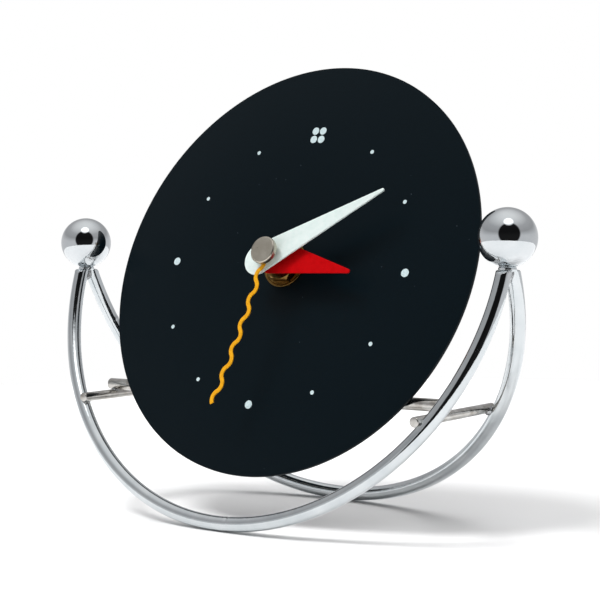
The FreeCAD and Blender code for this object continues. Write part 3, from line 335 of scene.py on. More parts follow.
# ---- side rods and crossbar ----
# A straight rod at each side joins the hoops on their inside, and a thicker bar lies across both
# rods. Each is cropped, eased at its ends, welded at every crossing and plated with the hoops.

def bar_like(node, along):
    """A round bar with softened ends that lies where a CAD bar does."""
    low, high = (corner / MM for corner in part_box(node))
    across = (along + 1) % 3
    half = (high[across] - low[across]) / 2
    length = high[along] - low[along]
    mesh = turned(rounded([(0, 0), (half, 0), (half, length), (0, length)], 0.45), 48)
    middle = (low + high) / 2
    middle[along] = low[along]
    direction = Vector([float(axis == along) for axis in range(3)])
    lay_down = Vector((0, 0, 1)).rotation_difference(direction)
    return mesh, Matrix.Translation(middle * MM) @ lay_down.to_matrix().to_4x4()


# The rods were plated after welding, inside the frame, so their chrome is thin and a little warm.
thin_chrome, shader = new_material("thin_chrome_on_cropped_rod", "#bdbab5", 1.0, 0.16)
uneven(shader, 3.5, colours=("#9a958e", "#d2d1ce"), rough=(0.10, 0.26), depth=0.02)
for node, along in (("left_side_rod", 1), ("right_side_rod", 1), ("crossbar", 0)):
    mesh, here = bar_like(node, along)
    put(node + "_bar", mesh, thin_chrome, "stand", "chrome", node, place=here)

rod_low, rod_high = (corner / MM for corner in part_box("right_side_rod"))
bar_low, bar_high = (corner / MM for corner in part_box("crossbar"))
rod_x, rod_level = (rod_low.x + rod_high.x) / 2, (rod_low.z + rod_high.z) / 2
bar_y = (bar_low.y + bar_high.y) / 2
TO_WELD = 3.3
spots = []
for side in (-1, 1):
    spots.append((side * rod_x, rod_low.y + TO_WELD, rod_level - 0.6, 1.9, 1.9, 1.5))
    spots.append((side * rod_x, rod_high.y - TO_WELD, rod_level - 0.6, 1.9, 1.9, 1.5))
    spots.append((side * rod_x, bar_y, rod_high.z - 0.1, 1.5, 2.0, 0.7))
for number, (x, y, z, wide, deep, tall) in enumerate(spots):
    outward = math.copysign(1.1 if abs(y - bar_y) > 1 else 0.0, x)
    put("joint_weld_%d" % (number + 1), bead((x + outward, y, z), (wide, deep, tall), number + 11),
        weld_chrome, "stand", "chrome")


# ---- mounting plate ----
# A strip of zinc-plated steel sheet, punched for the spindle and spot-welded to the crossbar.

def softened(node, width):
    """A copy of a CAD solid with its edges eased by a narrow bevel."""
    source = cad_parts[node]
    built = bmesh.new()
    built.from_mesh(source.data)
    bmesh.ops.remove_doubles(built, verts=built.verts, dist=2e-6)
    bmesh.ops.dissolve_limit(built, angle_limit=math.radians(1), verts=built.verts,
                             edges=built.edges)
    bmesh.ops.recalc_face_normals(built, faces=built.faces)
    mesh = bpy.data.meshes.new("soft")
    built.to_mesh(mesh)
    built.free()
    holder = bpy.data.objects.new("soft", mesh)
    bpy.context.scene.collection.objects.link(holder)
    bevel = holder.modifiers.new("ease", "BEVEL")
    bevel.width = width * MM
    bevel.segments = 2
    bevel.limit_method = "ANGLE"
    bevel.angle_limit = math.radians(40)
    bpy.context.view_layer.update()
    result = bpy.data.meshes.new_from_object(
        holder.evaluated_get(bpy.context.evaluated_depsgraph_get()))
    bpy.data.objects.remove(holder)
    return result


# Zinc plate: pale, slightly blue, and mottled where its crystals catch the light.
zinc, shader = new_material("zinc_plated_steel", "#b9bec2", 1.0, 0.38)
uneven(shader, 3.0, colours=("#a2a8ad", "#c9cdd0"), rough=(0.3, 0.48), depth=0.02)
put("dial_bracket", softened("mounting_plate", 0.2), zinc, "stand", "zinc_plated_steel",
    "mounting_plate")


# ---- dial ----
# A disc blanked from 1.2 mm sheet and sprayed with a matt blue-black coating, which runs over the
# blanked edge. The coating is a little grainy and holds dust.

TILT, TURN = math.radians(21.3), math.radians(2.4)
HEAD = (Matrix.Translation(Vector((0, 3.7, 83.3)) * MM) @ Matrix.Rotation(math.pi / 2 - TILT, 4, "X")
        @ Matrix.Rotation(-TURN, 4, "Z"))
DIAL = 144.9
SHEET = 1.2
BUSH = 8.0
CLEAR_HOLE = BUSH / 2 + 0.1

COATING, DUST = "#030f15", "#56626a"
DUST_SPACING, SPECK = 4.2, 0.035
coating, shader = new_material("matt_blue_black_coating", COATING, 0.0, 0.44,
                               Specular_IOR_Level=0.09)
uneven(shader, 0.45, depth=0.012, detail=3.0)
uneven(shader, 26.0, rough=(0.40, 0.48), detail=3.0)
tree = shader.id_data
point = add(tree, "ShaderNodeTexCoord").outputs["Object"]
# Dust: pale specks up to 0.3 mm across, most of them faint, a few dozen on the whole dial.
cells = add(tree, "ShaderNodeTexVoronoi", {"Vector": point, "Scale": 1 / (DUST_SPACING * MM),
                                           "Randomness": 1.0})
speck = add(tree, "ShaderNodeMath", {0: cells.outputs["Distance"], 1: SPECK},
            operation="LESS_THAN")
chance = add(tree, "ShaderNodeSeparateColor", {0: cells.outputs["Color"]})
few = add(tree, "ShaderNodeMath", {0: chance.outputs[0], 1: 0.5}, operation="LESS_THAN")
dust = add(tree, "ShaderNodeMath", {0: speck.outputs[0], 1: few.outputs[0]}, operation="MULTIPLY")
fade = add(tree, "ShaderNodeMath", {0: dust.outputs[0], 1: chance.outputs[1]}, operation="MULTIPLY")
mixed = add(tree, "ShaderNodeMix", {0: fade.outputs[0], 6: linear(COATING), 7: linear(DUST)},
            data_type="RGBA")
tree.links.new(mixed.outputs[2], shader.inputs["Base Color"])

edge = rounded([(CLEAR_HOLE, -SHEET), (DIAL / 2, -SHEET), (DIAL / 2, 0), (CLEAR_HOLE, 0)], 0.14, 3)
put("dial_disc", turned(edge, 360), coating, "stand", "black_coating", "dial_plate", place=HEAD)


# ---- hour marks ----
# Spots screen-printed in white ink: one for each hour, larger at three, six and nine, and a
# cluster of four at twelve. The ink stands a twelfth of a millimetre proud of the coating.

ink, shader = new_material("screen_printed_white_ink", "#c9dbde", 0.0, 0.42, Specular_IOR_Level=0.3)
uneven(shader, 0.5, colours=("#bfd3d7", "#d3e3e5"), rough=(0.36, 0.5), depth=0.01)

tree, given, out = new_tree("hour_spots", Ring=("Float", 0.048), Small=("Float", 0.0007),
                            Large=("Float", 0.0014), Twelve=("Float", 0.00135),
                            Pitch=("Float", 0.0031), Ink=("Float", 0.00008))
hours = add(tree, "GeometryNodeMeshCircle", {"Vertices": 12, "Radius": given.outputs["Ring"]})
quarter = add(tree, "GeometryNodeTransform", {"Geometry": hours.outputs[0],
                                              "Rotation": (0, 0, math.pi / 2)})
number = add(tree, "GeometryNodeInputIndex")
past = add(tree, "ShaderNodeMath", {0: number.outputs[0], 1: 0.5}, operation="GREATER_THAN")
third = add(tree, "ShaderNodeMath", {0: number.outputs[0], 1: 3.0}, operation="MODULO")
small = add(tree, "ShaderNodeMath", {0: third.outputs[0], 1: 0.5}, operation="GREATER_THAN")
size = add(tree, "ShaderNodeMix", {0: small.outputs[0], 2: given.outputs["Large"],
                                   3: given.outputs["Small"]})
wide = add(tree, "ShaderNodeCombineXYZ", {0: size.outputs[0], 1: size.outputs[0],
                                          2: given.outputs["Ink"]})
spot = add(tree, "GeometryNodeMeshCylinder", {"Vertices": 40, "Radius": 1.0, "Depth": 1.0})
raised = add(tree, "GeometryNodeTransform", {"Geometry": spot.outputs[0],
                                             "Translation": (0, 0, 0.5)})
ring = add(tree, "GeometryNodeInstanceOnPoints", {
    "Points": quarter.outputs[0], "Selection": past.outputs[0], "Instance": raised.outputs[0],
    "Scale": wide.outputs[0]})
four = add(tree, "GeometryNodeMeshGrid", {
    "Size X": given.outputs["Pitch"], "Size Y": given.outputs["Pitch"], "Vertices X": 2,
    "Vertices Y": 2})
up = add(tree, "ShaderNodeCombineXYZ", {1: given.outputs["Ring"]})
top = add(tree, "GeometryNodeTransform", {"Geometry": four.outputs[0], "Translation": up.outputs[0]})
bold = add(tree, "ShaderNodeCombineXYZ", {0: given.outputs["Twelve"], 1: given.outputs["Twelve"],
                                          2: given.outputs["Ink"]})
cluster = add(tree, "GeometryNodeInstanceOnPoints", {
    "Points": top.outputs[0], "Instance": raised.outputs[0], "Scale": bold.outputs[0]})
joined = add(tree, "GeometryNodeJoinGeometry", {0: ring.outputs[0]})
tree.links.new(cluster.outputs[0], joined.inputs[0])
close_tree(tree, out, joined.outputs[0], ink)
mesh = grown(tree, Ring=48 * MM, Small=0.7 * MM, Large=1.4 * MM, Twelve=1.35 * MM, Pitch=3.1 * MM,
             Ink=0.08 * MM)
PRINT_SHIFT = Matrix.Translation(Vector((-0.36, -0.95, 0)) * MM)
put("hour_spots", mesh, ink, "stand", "white_print", "hour_marks", place=HEAD @ PRINT_SHIFT)


# ---- spindle hardware ----
# A brass washer with a turned-up rim and a brass nut clamp the dial to the movement's threaded
# bush. A rubber washer behind the bracket takes up the play.

# Painted shade: the brass colour is darker than bare brass, to stand in for the hour hand's shadow on
# the washer's face. The nut and the bush share this darkened colour.
brass, shader = new_material("turned_brass_darkened_as_painted_shade", "#7f6334", 1.0, 0.2)
uneven(shader, 2.5, colours=("#6a5029", "#917441"), rough=(0.15, 0.27))
rubber, shader = new_material("black_rubber", "#17181a", 0.0, 0.75)
uneven(shader, 0.8, colours=("#131416", "#1f2022"), rough=(0.66, 0.85), depth=0.02)

WASHER, WASHER_RIM, WASHER_SHEET = 8.25, 0.8, 0.45
washer = rounded([(CLEAR_HOLE, 0), (WASHER, 0), (WASHER, WASHER_RIM), (WASHER - 0.5, WASHER_RIM),
                  (7.3, WASHER_SHEET), (CLEAR_HOLE, WASHER_SHEET)], 0.12, 3)
put("brass_washer", turned(washer, 128), brass, "stand", "brass", "spindle_washer", place=HEAD)
put("brass_nut", softened("spindle_nut", 0.12), brass, "stand", "brass", "spindle_nut")

THREAD = 0.75
CASE_FRONT = -4.7
BORE, FLANGE, BUSH_END = 2.6, 6, 3.6
outline = [(BORE, BUSH_END), (BORE, CASE_FRONT - 0.5), (FLANGE, CASE_FRONT - 0.5),
           (FLANGE, CASE_FRONT), (BUSH / 2, CASE_FRONT)]
level = 0.9
while level < 3.3:
    outline += [(BUSH / 2, level), (BUSH / 2 - 0.3, level + THREAD / 2)]
    level += THREAD
outline += [(BUSH / 2, 3.2), (BUSH / 2 - 0.35, BUSH_END)]
put("bush_with_thread", turned(outline, 96), brass, "stand", "brass", "threaded_bush", place=HEAD,
    crisp=25)
GASKET, GASKET_BACK, GASKET_FRONT = 9, -3.5, -2.7
gasket = rounded([(CLEAR_HOLE, GASKET_BACK), (GASKET, GASKET_BACK), (GASKET, GASKET_FRONT),
                  (CLEAR_HOLE, GASKET_FRONT)], 0.2, 3)
put("rubber_washer", turned(gasket, 96), rubber, "stand", "black_rubber", "rubber_gasket",
    place=HEAD)


# ---- hour and minute hands ----
# Flat tapered hands stamped from thin aluminium, lacquered red and white. Each is riveted to a
# collet that is pressed onto its tube.

def stamped(outline, hole, thickness, back, ease=0.06):
    """Sheet cut to an outline about a round hole, with its edges eased, in mm."""
    curve = bpy.data.curves.new("stamped", "CURVE")
    curve.dimensions = "2D"
    curve.fill_mode = "BOTH"
    around = [2 * math.pi * step / 48 for step in range(48)]
    rim = [(hole * math.cos(angle), hole * math.sin(angle)) for angle in around]
    for points in (outline, rim):
        spline = curve.splines.new("POLY")
        spline.points.add(len(points) - 1)
        for place, (x, y) in zip(spline.points, points):
            place.co = (x * MM, y * MM, 0, 1)
        spline.use_cyclic_u = True
    curve.bevel_depth = ease * MM
    curve.bevel_resolution = 2
    curve.offset = -ease * MM
    curve.extrude = (thickness / 2 - ease) * MM
    holder = bpy.data.objects.new("stamped", curve)
    bpy.context.scene.collection.objects.link(holder)
    bpy.context.view_layer.update()
    mesh = bpy.data.meshes.new_from_object(
        holder.evaluated_get(bpy.context.evaluated_depsgraph_get()))
    bpy.data.objects.remove(holder)
    built = bmesh.new()
    built.from_mesh(mesh)
    bmesh.ops.remove_doubles(built, verts=built.verts, dist=1e-6)
    bmesh.ops.recalc_face_normals(built, faces=built.faces)
    built.to_mesh(mesh)
    built.free()
    mesh.transform(Matrix.Translation((0, 0, (back + thickness / 2) * MM)))
    return mesh


def taper(length, tail_radius, tail_middle, tip_radius):
    """The outline of a hand along +Y: a round tail and a small round tip on two tangents."""
    reach = length - tip_radius
    lean = math.asin((tail_radius - tip_radius) / (reach + tail_middle))
    outline = []
    for step in range(13):
        angle = lean + (math.pi - 2 * lean) * step / 12
        outline.append((tip_radius * math.cos(angle), reach + tip_radius * math.sin(angle)))
    for step in range(49):
        angle = math.pi - lean + (math.pi + 2 * lean) * step / 48
        outline.append((tail_radius * math.cos(angle), -tail_middle + tail_radius * math.sin(angle)))
    return outline


def hand_place(angle):
    """Where a hand lies that points at an angle clockwise from twelve."""
    return HEAD @ Matrix.Rotation(-math.radians(angle), 4, "Z")


# Satin lacquer on aluminium: an even colour with a trace of orange peel.
red, shader = new_material("red_satin_lacquer", "#bd0208", 0.0, 0.5, Specular_IOR_Level=0.05)
uneven(shader, 1.6, colours=("#b50207", "#c3050c"), rough=(0.44, 0.56), depth=0.008)
white, shader = new_material("white_satin_lacquer", "#e1edea", 0.0, 0.45, Specular_IOR_Level=0.3)
uneven(shader, 1.6, colours=("#dcebe7", "#e6f0ed"), rough=(0.34, 0.48), depth=0.008)
nickel, shader = new_material("satin_nickel_plate", "#b5aea0", 1.0, 0.32)
uneven(shader, 1.2, colours=("#aba495", "#c0b9ab"), rough=(0.26, 0.4), depth=0.006)

HAND = 0.6
put("hour_hand_blade", stamped(taper(32.3, 6.0, 0.2, 0.7), 2.5, HAND, 7.8 - HAND), red,
    "hour_works", "red_lacquer", "hour_hand", place=hand_place(97))
put("minute_hand_blade", stamped(taper(45.6, 5.4, 4.3, 0.5), 1.7, HAND, 10.2 - HAND), white,
    "minute_works", "white_lacquer", "minute_hand", place=hand_place(59.3))
for name, node, body, bore, radius, low, high in (
        ("hour_collet", "hour_hand_collet", "hour_works", 2.5, 3.3, 4.6, 7.2),
        ("minute_collet", "minute_hand_collet", "minute_works", 1.7, 2.9, 8.3, 9.6),
        ("seconds_collet", "second_hand_collet", "seconds_works", 0.55, 1.3, 10.7, 11.6)):
    outline = rounded([(bore, low), (radius, low), (radius, high - 0.25), (radius - 0.2, high),
                       (bore, high)], 0.1, 3)
    put(name, turned(outline, 64), nickel, body, "nickel", node, place=HEAD)


# ---- second hand and its cap ----
# A ribbon of thin aluminium stamped to an even wave and lacquered yellow, carried under a turned
# nickel-plated cap that hides the end of the arbor.

yellow, shader = new_material("yellow_satin_lacquer", "#e8a410", 0.0, 0.45, Specular_IOR_Level=0.2)
uneven(shader, 1.5, colours=("#e29c0c", "#edab16"), rough=(0.34, 0.48), depth=0.008)
WAVE, SWING, BEND = 8.48, 0.88, math.radians(0.72)
RIBBON = 0.7
LENGTH, EYE = 52.6, 2.2
WAVE_STEPS, EYE_STEPS = 14, 40
half_chord = WAVE / 4
bow = (half_chord ** 2 + SWING ** 2) / (2 * SWING)
half_turn = math.asin(half_chord / bow)
start = EYE - 0.3
count = round((LENGTH - start) / (2 * half_chord))
heading = math.pi / 2 + half_turn + BEND * count / 2
point = Vector((0, start))
lefts, rights = [], []
for number in range(count):
    turn_side = -1 if number % 2 == 0 else 1
    sweep = turn_side * 2 * half_turn - BEND
    normal = heading + turn_side * math.pi / 2
    centre = point + Vector((math.cos(normal), math.sin(normal))) * bow
    begin = heading - turn_side * math.pi / 2
    for step in range(WAVE_STEPS + (number == count - 1)):
        angle = begin + sweep * step / WAVE_STEPS
        out_from = Vector((math.cos(angle), math.sin(angle)))
        lefts.append(centre + out_from * (bow - turn_side * RIBBON))
        rights.append(centre + out_from * (bow + turn_side * RIBBON))
    point = centre + Vector((math.cos(begin + sweep), math.sin(begin + sweep))) * bow
    heading += sweep
# The ribbon grows out of a small round eye.
outline = [tuple(p) for p in rights] + [tuple(p) for p in reversed(lefts)]
outline = [p for p in outline if Vector(p).length > EYE]
first = math.atan2(outline[-1][1], outline[-1][0])
last = math.atan2(outline[0][1], outline[0][0])
if last > first:
    last -= 2 * math.pi
for step in range(1, EYE_STEPS):
    angle = first + ((last - first) % (2 * math.pi)) * step / EYE_STEPS
    outline.append((EYE * math.cos(angle), EYE * math.sin(angle)))
put("second_hand_ribbon", stamped(outline, 0.55, 0.4, 11.6, 0.05), yellow, "seconds_works",
    "yellow_lacquer", "second_hand", place=hand_place(186))


def object_point(tree, turn, middle=(0, 0, 0)):
    """The place on the piece, from a middle, with a pattern's directions turned."""
    place = add(tree, "ShaderNodeTexCoord").outputs["Object"]
    moved = add(tree, "ShaderNodeVectorMath", {0: place, 1: middle}, operation="SUBTRACT")
    return add(tree, "ShaderNodeMapping", {"Vector": moved.outputs[0], "Rotation": turn},
               vector_type="TEXTURE").outputs[0]


# Faint rings left by the lathe on the cap's face. They are drawn 1.6 mm apart, which is far
# coarser than real ones, so that they show. A wave pattern repeats every pi / 10 / its scale.
CAP_RINGS = 200.0
cap_nickel, shader = new_material("turned_nickel_cap", "#bdb6a8", 1.0, 0.3)
uneven(shader, 3.0, colours=("#b3ac9d", "#c6c0b3"), rough=(0.26, 0.36))
tree = shader.id_data
face = object_point(tree, (math.pi / 2 - TILT, 0, 0), tuple(HEAD.translation))
rings = add(tree, "ShaderNodeTexWave", {"Vector": face, "Scale": CAP_RINGS, "Distortion": 0.4},
            wave_type="RINGS", rings_direction="Z")
relief = add(tree, "ShaderNodeBump", {"Height": rings.outputs[1], "Distance": 0.004 * MM,
                                      "Strength": 0.6})
tree.links.new(relief.outputs[0], shader.inputs["Normal"])
CAP, CAP_BACK, CAP_RIM, CAP_FACE = 4.7, 12.0, 14.0, 13.9
cap = rounded([(0, CAP_BACK), (CAP - 0.25, CAP_BACK), (CAP, 12.25), (CAP, 13.6), (4.35, CAP_RIM),
               (4.1, CAP_FACE), (0, CAP_FACE)], 0.22, 5)
put("second_hand_button", turned(cap, 128), cap_nickel, "seconds_works", "nickel",
    "second_hand_cap", place=HEAD)


# ---- movement case, cover and knob ----
# A square battery movement moulded in black ABS, spark-eroded to a fine matt grain. Its cover
# clips on over the wheels and is open over the battery, and a fluted knob sets the hands.

abs_black, shader = new_material("moulded_black_abs", "#1b1c1e", 0.0, 0.5)
uneven(shader, 0.35, colours=("#18191b", "#202123"), rough=(0.46, 0.6), depth=0.015)
put("case_moulding", softened("front_case", 0.3), abs_black, "stand", "black_abs", "front_case")
put("cover_moulding", softened("back_cover", 0.25), abs_black, "stand", "black_abs", "back_cover")
put("fluted_knob", softened("setting_knob", 0.12), abs_black, "knob_shaft", "black_abs",
    "setting_knob")


# The cover's back face carries what a moulding tool leaves there: a row of grip ribs, a rim and a
# turning arrow round the knob, polarity marks beside the battery, and snap tongues on the walls.
COVER_BACK = -19.5
tree, given, out = new_tree("grip_ribs", Count=("Int", 9), Pitch=("Float", 0.0024),
                            Length=("Float", 0.014), Width=("Float", 0.001))
line = add(tree, "GeometryNodeMeshLine", {"Count": given.outputs["Count"]})
step = add(tree, "ShaderNodeCombineXYZ", {0: given.outputs["Pitch"]})
tree.links.new(step.outputs[0], line.inputs["Offset"])
half = add(tree, "ShaderNodeMath", {0: given.outputs["Length"], 1: 0.5}, operation="MULTIPLY")
above = add(tree, "ShaderNodeCombineXYZ", {1: half.outputs[0]})
below = add(tree, "ShaderNodeVectorMath", {0: above.outputs[0], 1: (-1, -1, -1)},
            operation="MULTIPLY")
spine = add(tree, "GeometryNodeCurvePrimitiveLine", {"Start": below.outputs[0],
                                                     "End": above.outputs[0]})
thick = add(tree, "ShaderNodeMath", {0: given.outputs["Width"], 1: 0.5}, operation="MULTIPLY")
girth = add(tree, "GeometryNodeCurvePrimitiveCircle", {"Resolution": 12,
                                                       "Radius": thick.outputs[0]})
rib = add(tree, "GeometryNodeCurveToMesh", {"Curve": spine.outputs[0], "Fill Caps": True,
                                            "Profile Curve": girth.outputs[0]})
ribs = add(tree, "GeometryNodeInstanceOnPoints", {"Points": line.outputs[0],
                                                  "Instance": rib.outputs[0]})
close_tree(tree, out, ribs.outputs[0], abs_black)
mesh = grown(tree, Count=9, Pitch=2.4 * MM, Length=15 * MM, Width=1.1 * MM)
put("cover_grip_ribs", mesh, abs_black, "stand", "black_abs",
    place=HEAD @ Matrix.Translation(Vector((-21.5, 12.5, COVER_BACK - 0.1)) * MM))

# The knob's shaft stands beside the reversing wheel's, a pair of gears' distance away.
REVERSER_X, REVERSER_Y = 9.945, 1.045
SHAFT_DISTANCE, SHAFT_BEARING = 10.5, math.radians(40)
knob_x = REVERSER_X + SHAFT_DISTANCE * math.cos(SHAFT_BEARING)
knob_y = REVERSER_Y + SHAFT_DISTANCE * math.sin(SHAFT_BEARING)
RIM_IN, RIM_OUT = 8.0, 8.9
rim = rounded([(RIM_IN, COVER_BACK - 0.6), (RIM_OUT, COVER_BACK - 0.6), (RIM_OUT, COVER_BACK + 0.3),
               (RIM_IN, COVER_BACK + 0.3)], 0.25, 3)
put("cover_knob_rim", turned(rim, 96), abs_black, "stand", "black_abs",
    place=HEAD @ Matrix.Translation(Vector((knob_x, knob_y, 0)) * MM))


SLOPE = 0.94


def raised(outline, place, height=0.35):
    """A flat raised mark on the cover, with its outline in mm and sloped sides."""
    built = bmesh.new()
    middle = sum((Vector(p) for p in outline), Vector((0, 0))) / len(outline)
    foot = [built.verts.new((x * MM, y * MM, 0.3 * MM)) for x, y in outline]
    face = [built.verts.new(((middle.x + (x - middle.x) * SLOPE) * MM,
                             (middle.y + (y - middle.y) * SLOPE) * MM, -height * MM))
            for x, y in outline]
    count = len(outline)
    for spot in range(count):
        after = (spot + 1) % count
        built.faces.new((foot[spot], foot[after], face[after], face[spot]))
    built.faces.new(face)
    built.faces.new(list(reversed(foot)))
    mesh = to_mesh(built)
    mesh.transform(place)
    return mesh


def on_cover(x, y):
    """A place on the cover's back face."""
    return HEAD @ Matrix.Translation(Vector((x, y, COVER_BACK)) * MM)


ARROW_START, ARROW_SWEEP, ARROW_STEPS = 55, 70, 20
bearings = [math.radians(ARROW_START + ARROW_SWEEP * step / ARROW_STEPS)
            for step in range(ARROW_STEPS + 1)]
tip = bearings[-1]
arrow = [(11.2 * math.cos(angle), 11.2 * math.sin(angle)) for angle in bearings]
arrow += [(11.9 * math.cos(tip), 11.9 * math.sin(tip)),
          (10.8 * math.cos(tip + 0.14), 10.8 * math.sin(tip + 0.14)),
          (9.7 * math.cos(tip), 9.7 * math.sin(tip))]
arrow += [(10.4 * math.cos(angle), 10.4 * math.sin(angle)) for angle in reversed(bearings)]
put("cover_turning_arrow", raised(arrow, on_cover(knob_x, knob_y)), abs_black, "stand", "black_abs")

LIMB, STROKE = 1.6, 0.4
plus = [(-LIMB, -STROKE), (-STROKE, -STROKE), (-STROKE, -LIMB), (STROKE, -LIMB), (STROKE, -STROKE),
        (LIMB, -STROKE), (LIMB, STROKE), (STROKE, STROKE), (STROKE, LIMB), (-STROKE, LIMB),
        (-STROKE, STROKE), (-LIMB, STROKE)]
minus = [(-LIMB, -STROKE), (LIMB, -STROKE), (LIMB, STROKE), (-LIMB, STROKE)]
put("cover_plus_mark", raised(plus, on_cover(23.0, -8.2)), abs_black, "stand", "black_abs")
put("cover_minus_mark", raised(minus, on_cover(-23.0, -8.2)), abs_black, "stand", "black_abs")

CASE_HALF = 28
TONGUE_LEVEL, TONGUE_DROP = -16.2, 2.6
for number, (x, y) in enumerate(((-28, 12), (28, 16), (-13, 28), (15, 28))):
    wide, tall = (0.55, 3.0) if abs(x) == CASE_HALF else (3.0, 0.55)
    tongue = [(-wide, -tall), (wide, -tall), (wide, tall), (-wide, tall)]
    here = HEAD @ Matrix.Translation(Vector((x, y, TONGUE_LEVEL)) * MM)
    put("snap_tongue_%d" % (number + 1), raised(tongue, here, TONGUE_DROP), abs_black, "stand",
        "black_abs")


# ---- wheels and works ----
# Natural acetal wheels, a steel stator, a copper coil on a nylon bobbin and a small circuit
# board, shut inside the case, and a nickel-plated contact at each end of the battery.

acetal, shader = new_material("natural_acetal", "#e8e6dd", 0.0, 0.4, Subsurface_Weight=0.05)
uneven(shader, 2.0, colours=("#e0ded3", "#eeece4"), rough=(0.34, 0.48), depth=0.01)
copper, shader = new_material("enamelled_copper_winding", "#a4511f", 0.6, 0.3)
tree = shader.id_data
# Turns of fine wire, drawn 1.3 mm apart, which is far coarser than they are.
COIL_TURNS = 250.0
wound = object_point(tree, (math.pi / 2 - TILT, 0, 0))
turns = add(tree, "ShaderNodeTexWave", {"Vector": wound, "Scale": COIL_TURNS, "Distortion": 0.3},
            bands_direction="Y")
relief = add(tree, "ShaderNodeBump", {"Height": turns.outputs[1], "Distance": 0.05 * MM})
tree.links.new(relief.outputs[0], shader.inputs["Normal"])
nylon, shader = new_material("natural_nylon", "#d9d3bd", 0.0, 0.45)
uneven(shader, 1.5, colours=("#d0cab2", "#e2dcc8"), rough=(0.4, 0.52))
laminate, shader = new_material("green_board_laminate", "#1f5a34", 0.0, 0.35)
uneven(shader, 0.8, colours=("#1a4f2d", "#27683e"), rough=(0.3, 0.45))
epoxy, shader = new_material("black_epoxy_drop", "#101011", 0.0, 0.2)
uneven(shader, 1.5, rough=(0.14, 0.3), depth=0.05)

for nodes, material in (
        (("hour_wheel", "centre_wheel", "reverser_wheel", "third_wheel", "seconds_wheel",
          "intermediate_wheel"), acetal),
        (("train_plate",), abs_black), (("stator", "rotor"), zinc), (("coil_winding",), copper),
        (("coil_bobbin",), nylon), (("circuit_board",), laminate), (("chip",), epoxy),
        (("quartz_crystal", "positive_contact", "negative_contact"), nickel)):
    for node in nodes:
        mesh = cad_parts[node].data
        mesh.materials.clear()
        mesh.materials.append(material)


# ---- battery ----
# A size AA cell: a drawn steel can in a shrunk plastic sleeve, graphite with a copper-coloured
# end, with a bare nub at the positive end and a crimped ring at the negative end.

CELL, NUB = 14.2, 5.5
CELL_LENGTH, NUB_LENGTH = 49.2, 1.2
outline = [(0, 0), (4.8, 0), (5.2, 0.35), (6.3, 0.35), (6.75, 0.1), (CELL / 2, 0.5), (CELL / 2, 0.9)]
outline += [(CELL / 2, CELL_LENGTH - 0.6), (CELL / 2 - 0.5, CELL_LENGTH),
            (NUB / 2 + 1.4, CELL_LENGTH - 0.15), (NUB / 2 + 0.2, CELL_LENGTH - 0.15),
            (NUB / 2, CELL_LENGTH), (NUB / 2, CELL_LENGTH + NUB_LENGTH - 0.25),
            (NUB / 2 - 0.3, CELL_LENGTH + NUB_LENGTH), (0, CELL_LENGTH + NUB_LENGTH)]
GRAPHITE, COPPER_BAND, BARE_STEEL = "#26282c", "#b06a34", "#c6c8ca"
BAND_FROM, SLEEVE_TO, SLEEVE_FROM = 36.0, 48.3, 0.6
GLOSS_METAL = 0.35
sleeve, shader = new_material("shrunk_label_sleeve", GRAPHITE, GLOSS_METAL, 0.3)
tree = shader.id_data
CASE_WALL = 1.5
BAY_ROW = -CASE_HALF + CASE_WALL + 0.35 + CELL / 2
CELL_DEPTH = CASE_FRONT - 0.3 - CELL / 2
CELL_END = CASE_HALF - CASE_WALL - 0.4 - NUB_LENGTH - CELL_LENGTH
ALONG_X = Matrix.Rotation(math.pi / 2, 4, "Y")
lay = HEAD @ Matrix.Translation(Vector((CELL_END, BAY_ROW, CELL_DEPTH)) * MM) @ ALONG_X
mesh = turned(outline, 96)
share = mesh.attributes.new("along", "FLOAT", "POINT")
for vert in mesh.vertices:
    share.data[vert.index].value = vert.co.z / MM
along = add(tree, "ShaderNodeAttribute", attribute_name="along").outputs["Fac"]
band = add(tree, "ShaderNodeMath", {0: along, 1: BAND_FROM}, operation="GREATER_THAN")
bare = add(tree, "ShaderNodeMath", {0: along, 1: SLEEVE_TO}, operation="GREATER_THAN")
foot = add(tree, "ShaderNodeMath", {0: along, 1: SLEEVE_FROM}, operation="LESS_THAN")
steel = add(tree, "ShaderNodeMath", {0: bare.outputs[0], 1: foot.outputs[0]}, operation="MAXIMUM")
two = add(tree, "ShaderNodeMix", {0: band.outputs[0], 6: linear(GRAPHITE), 7: linear(COPPER_BAND)},
          data_type="RGBA")
three = add(tree, "ShaderNodeMix", {0: steel.outputs[0], 6: two.outputs[2], 7: linear(BARE_STEEL)},
            data_type="RGBA")
tree.links.new(three.outputs[2], shader.inputs["Base Color"])
metal = add(tree, "ShaderNodeMapRange", {"Value": steel.outputs[0], "To Min": GLOSS_METAL,
                                         "To Max": 1.0})
tree.links.new(metal.outputs[0], shader.inputs["Metallic"])
uneven(shader, 12.0, rough=(0.27, 0.33))
put("aa_cell", mesh, sleeve, "battery", "battery_label", "aa_battery", place=lay, crisp=30)


# The spring at the cell's negative end: a short cone of nickel-plated wire, pressed almost flat.
tree, given, out = new_tree("cone_spring", Turns=("Float", 2.5), Wide=("Float", 0.0035),
                            Narrow=("Float", 0.0022), Height=("Float", 0.0016),
                            Wire=("Float", 0.0003))
coil = add(tree, "GeometryNodeCurveSpiral", {"Resolution": 40, "Rotations": given.outputs["Turns"],
                                             "Start Radius": given.outputs["Wide"],
                                             "End Radius": given.outputs["Narrow"],
                                             "Height": given.outputs["Height"]})
girth = add(tree, "GeometryNodeCurvePrimitiveCircle", {"Resolution": 12,
                                                       "Radius": given.outputs["Wire"]})
wound = add(tree, "GeometryNodeCurveToMesh", {"Curve": coil.outputs[0], "Fill Caps": True,
                                              "Profile Curve": girth.outputs[0]})
close_tree(tree, out, wound.outputs[0], nickel)
mesh = grown(tree, Turns=2.6, Wide=4.0 * MM, Narrow=2.4 * MM, Height=1.2 * MM, Wire=0.3 * MM)
SPRING_END = -25.8
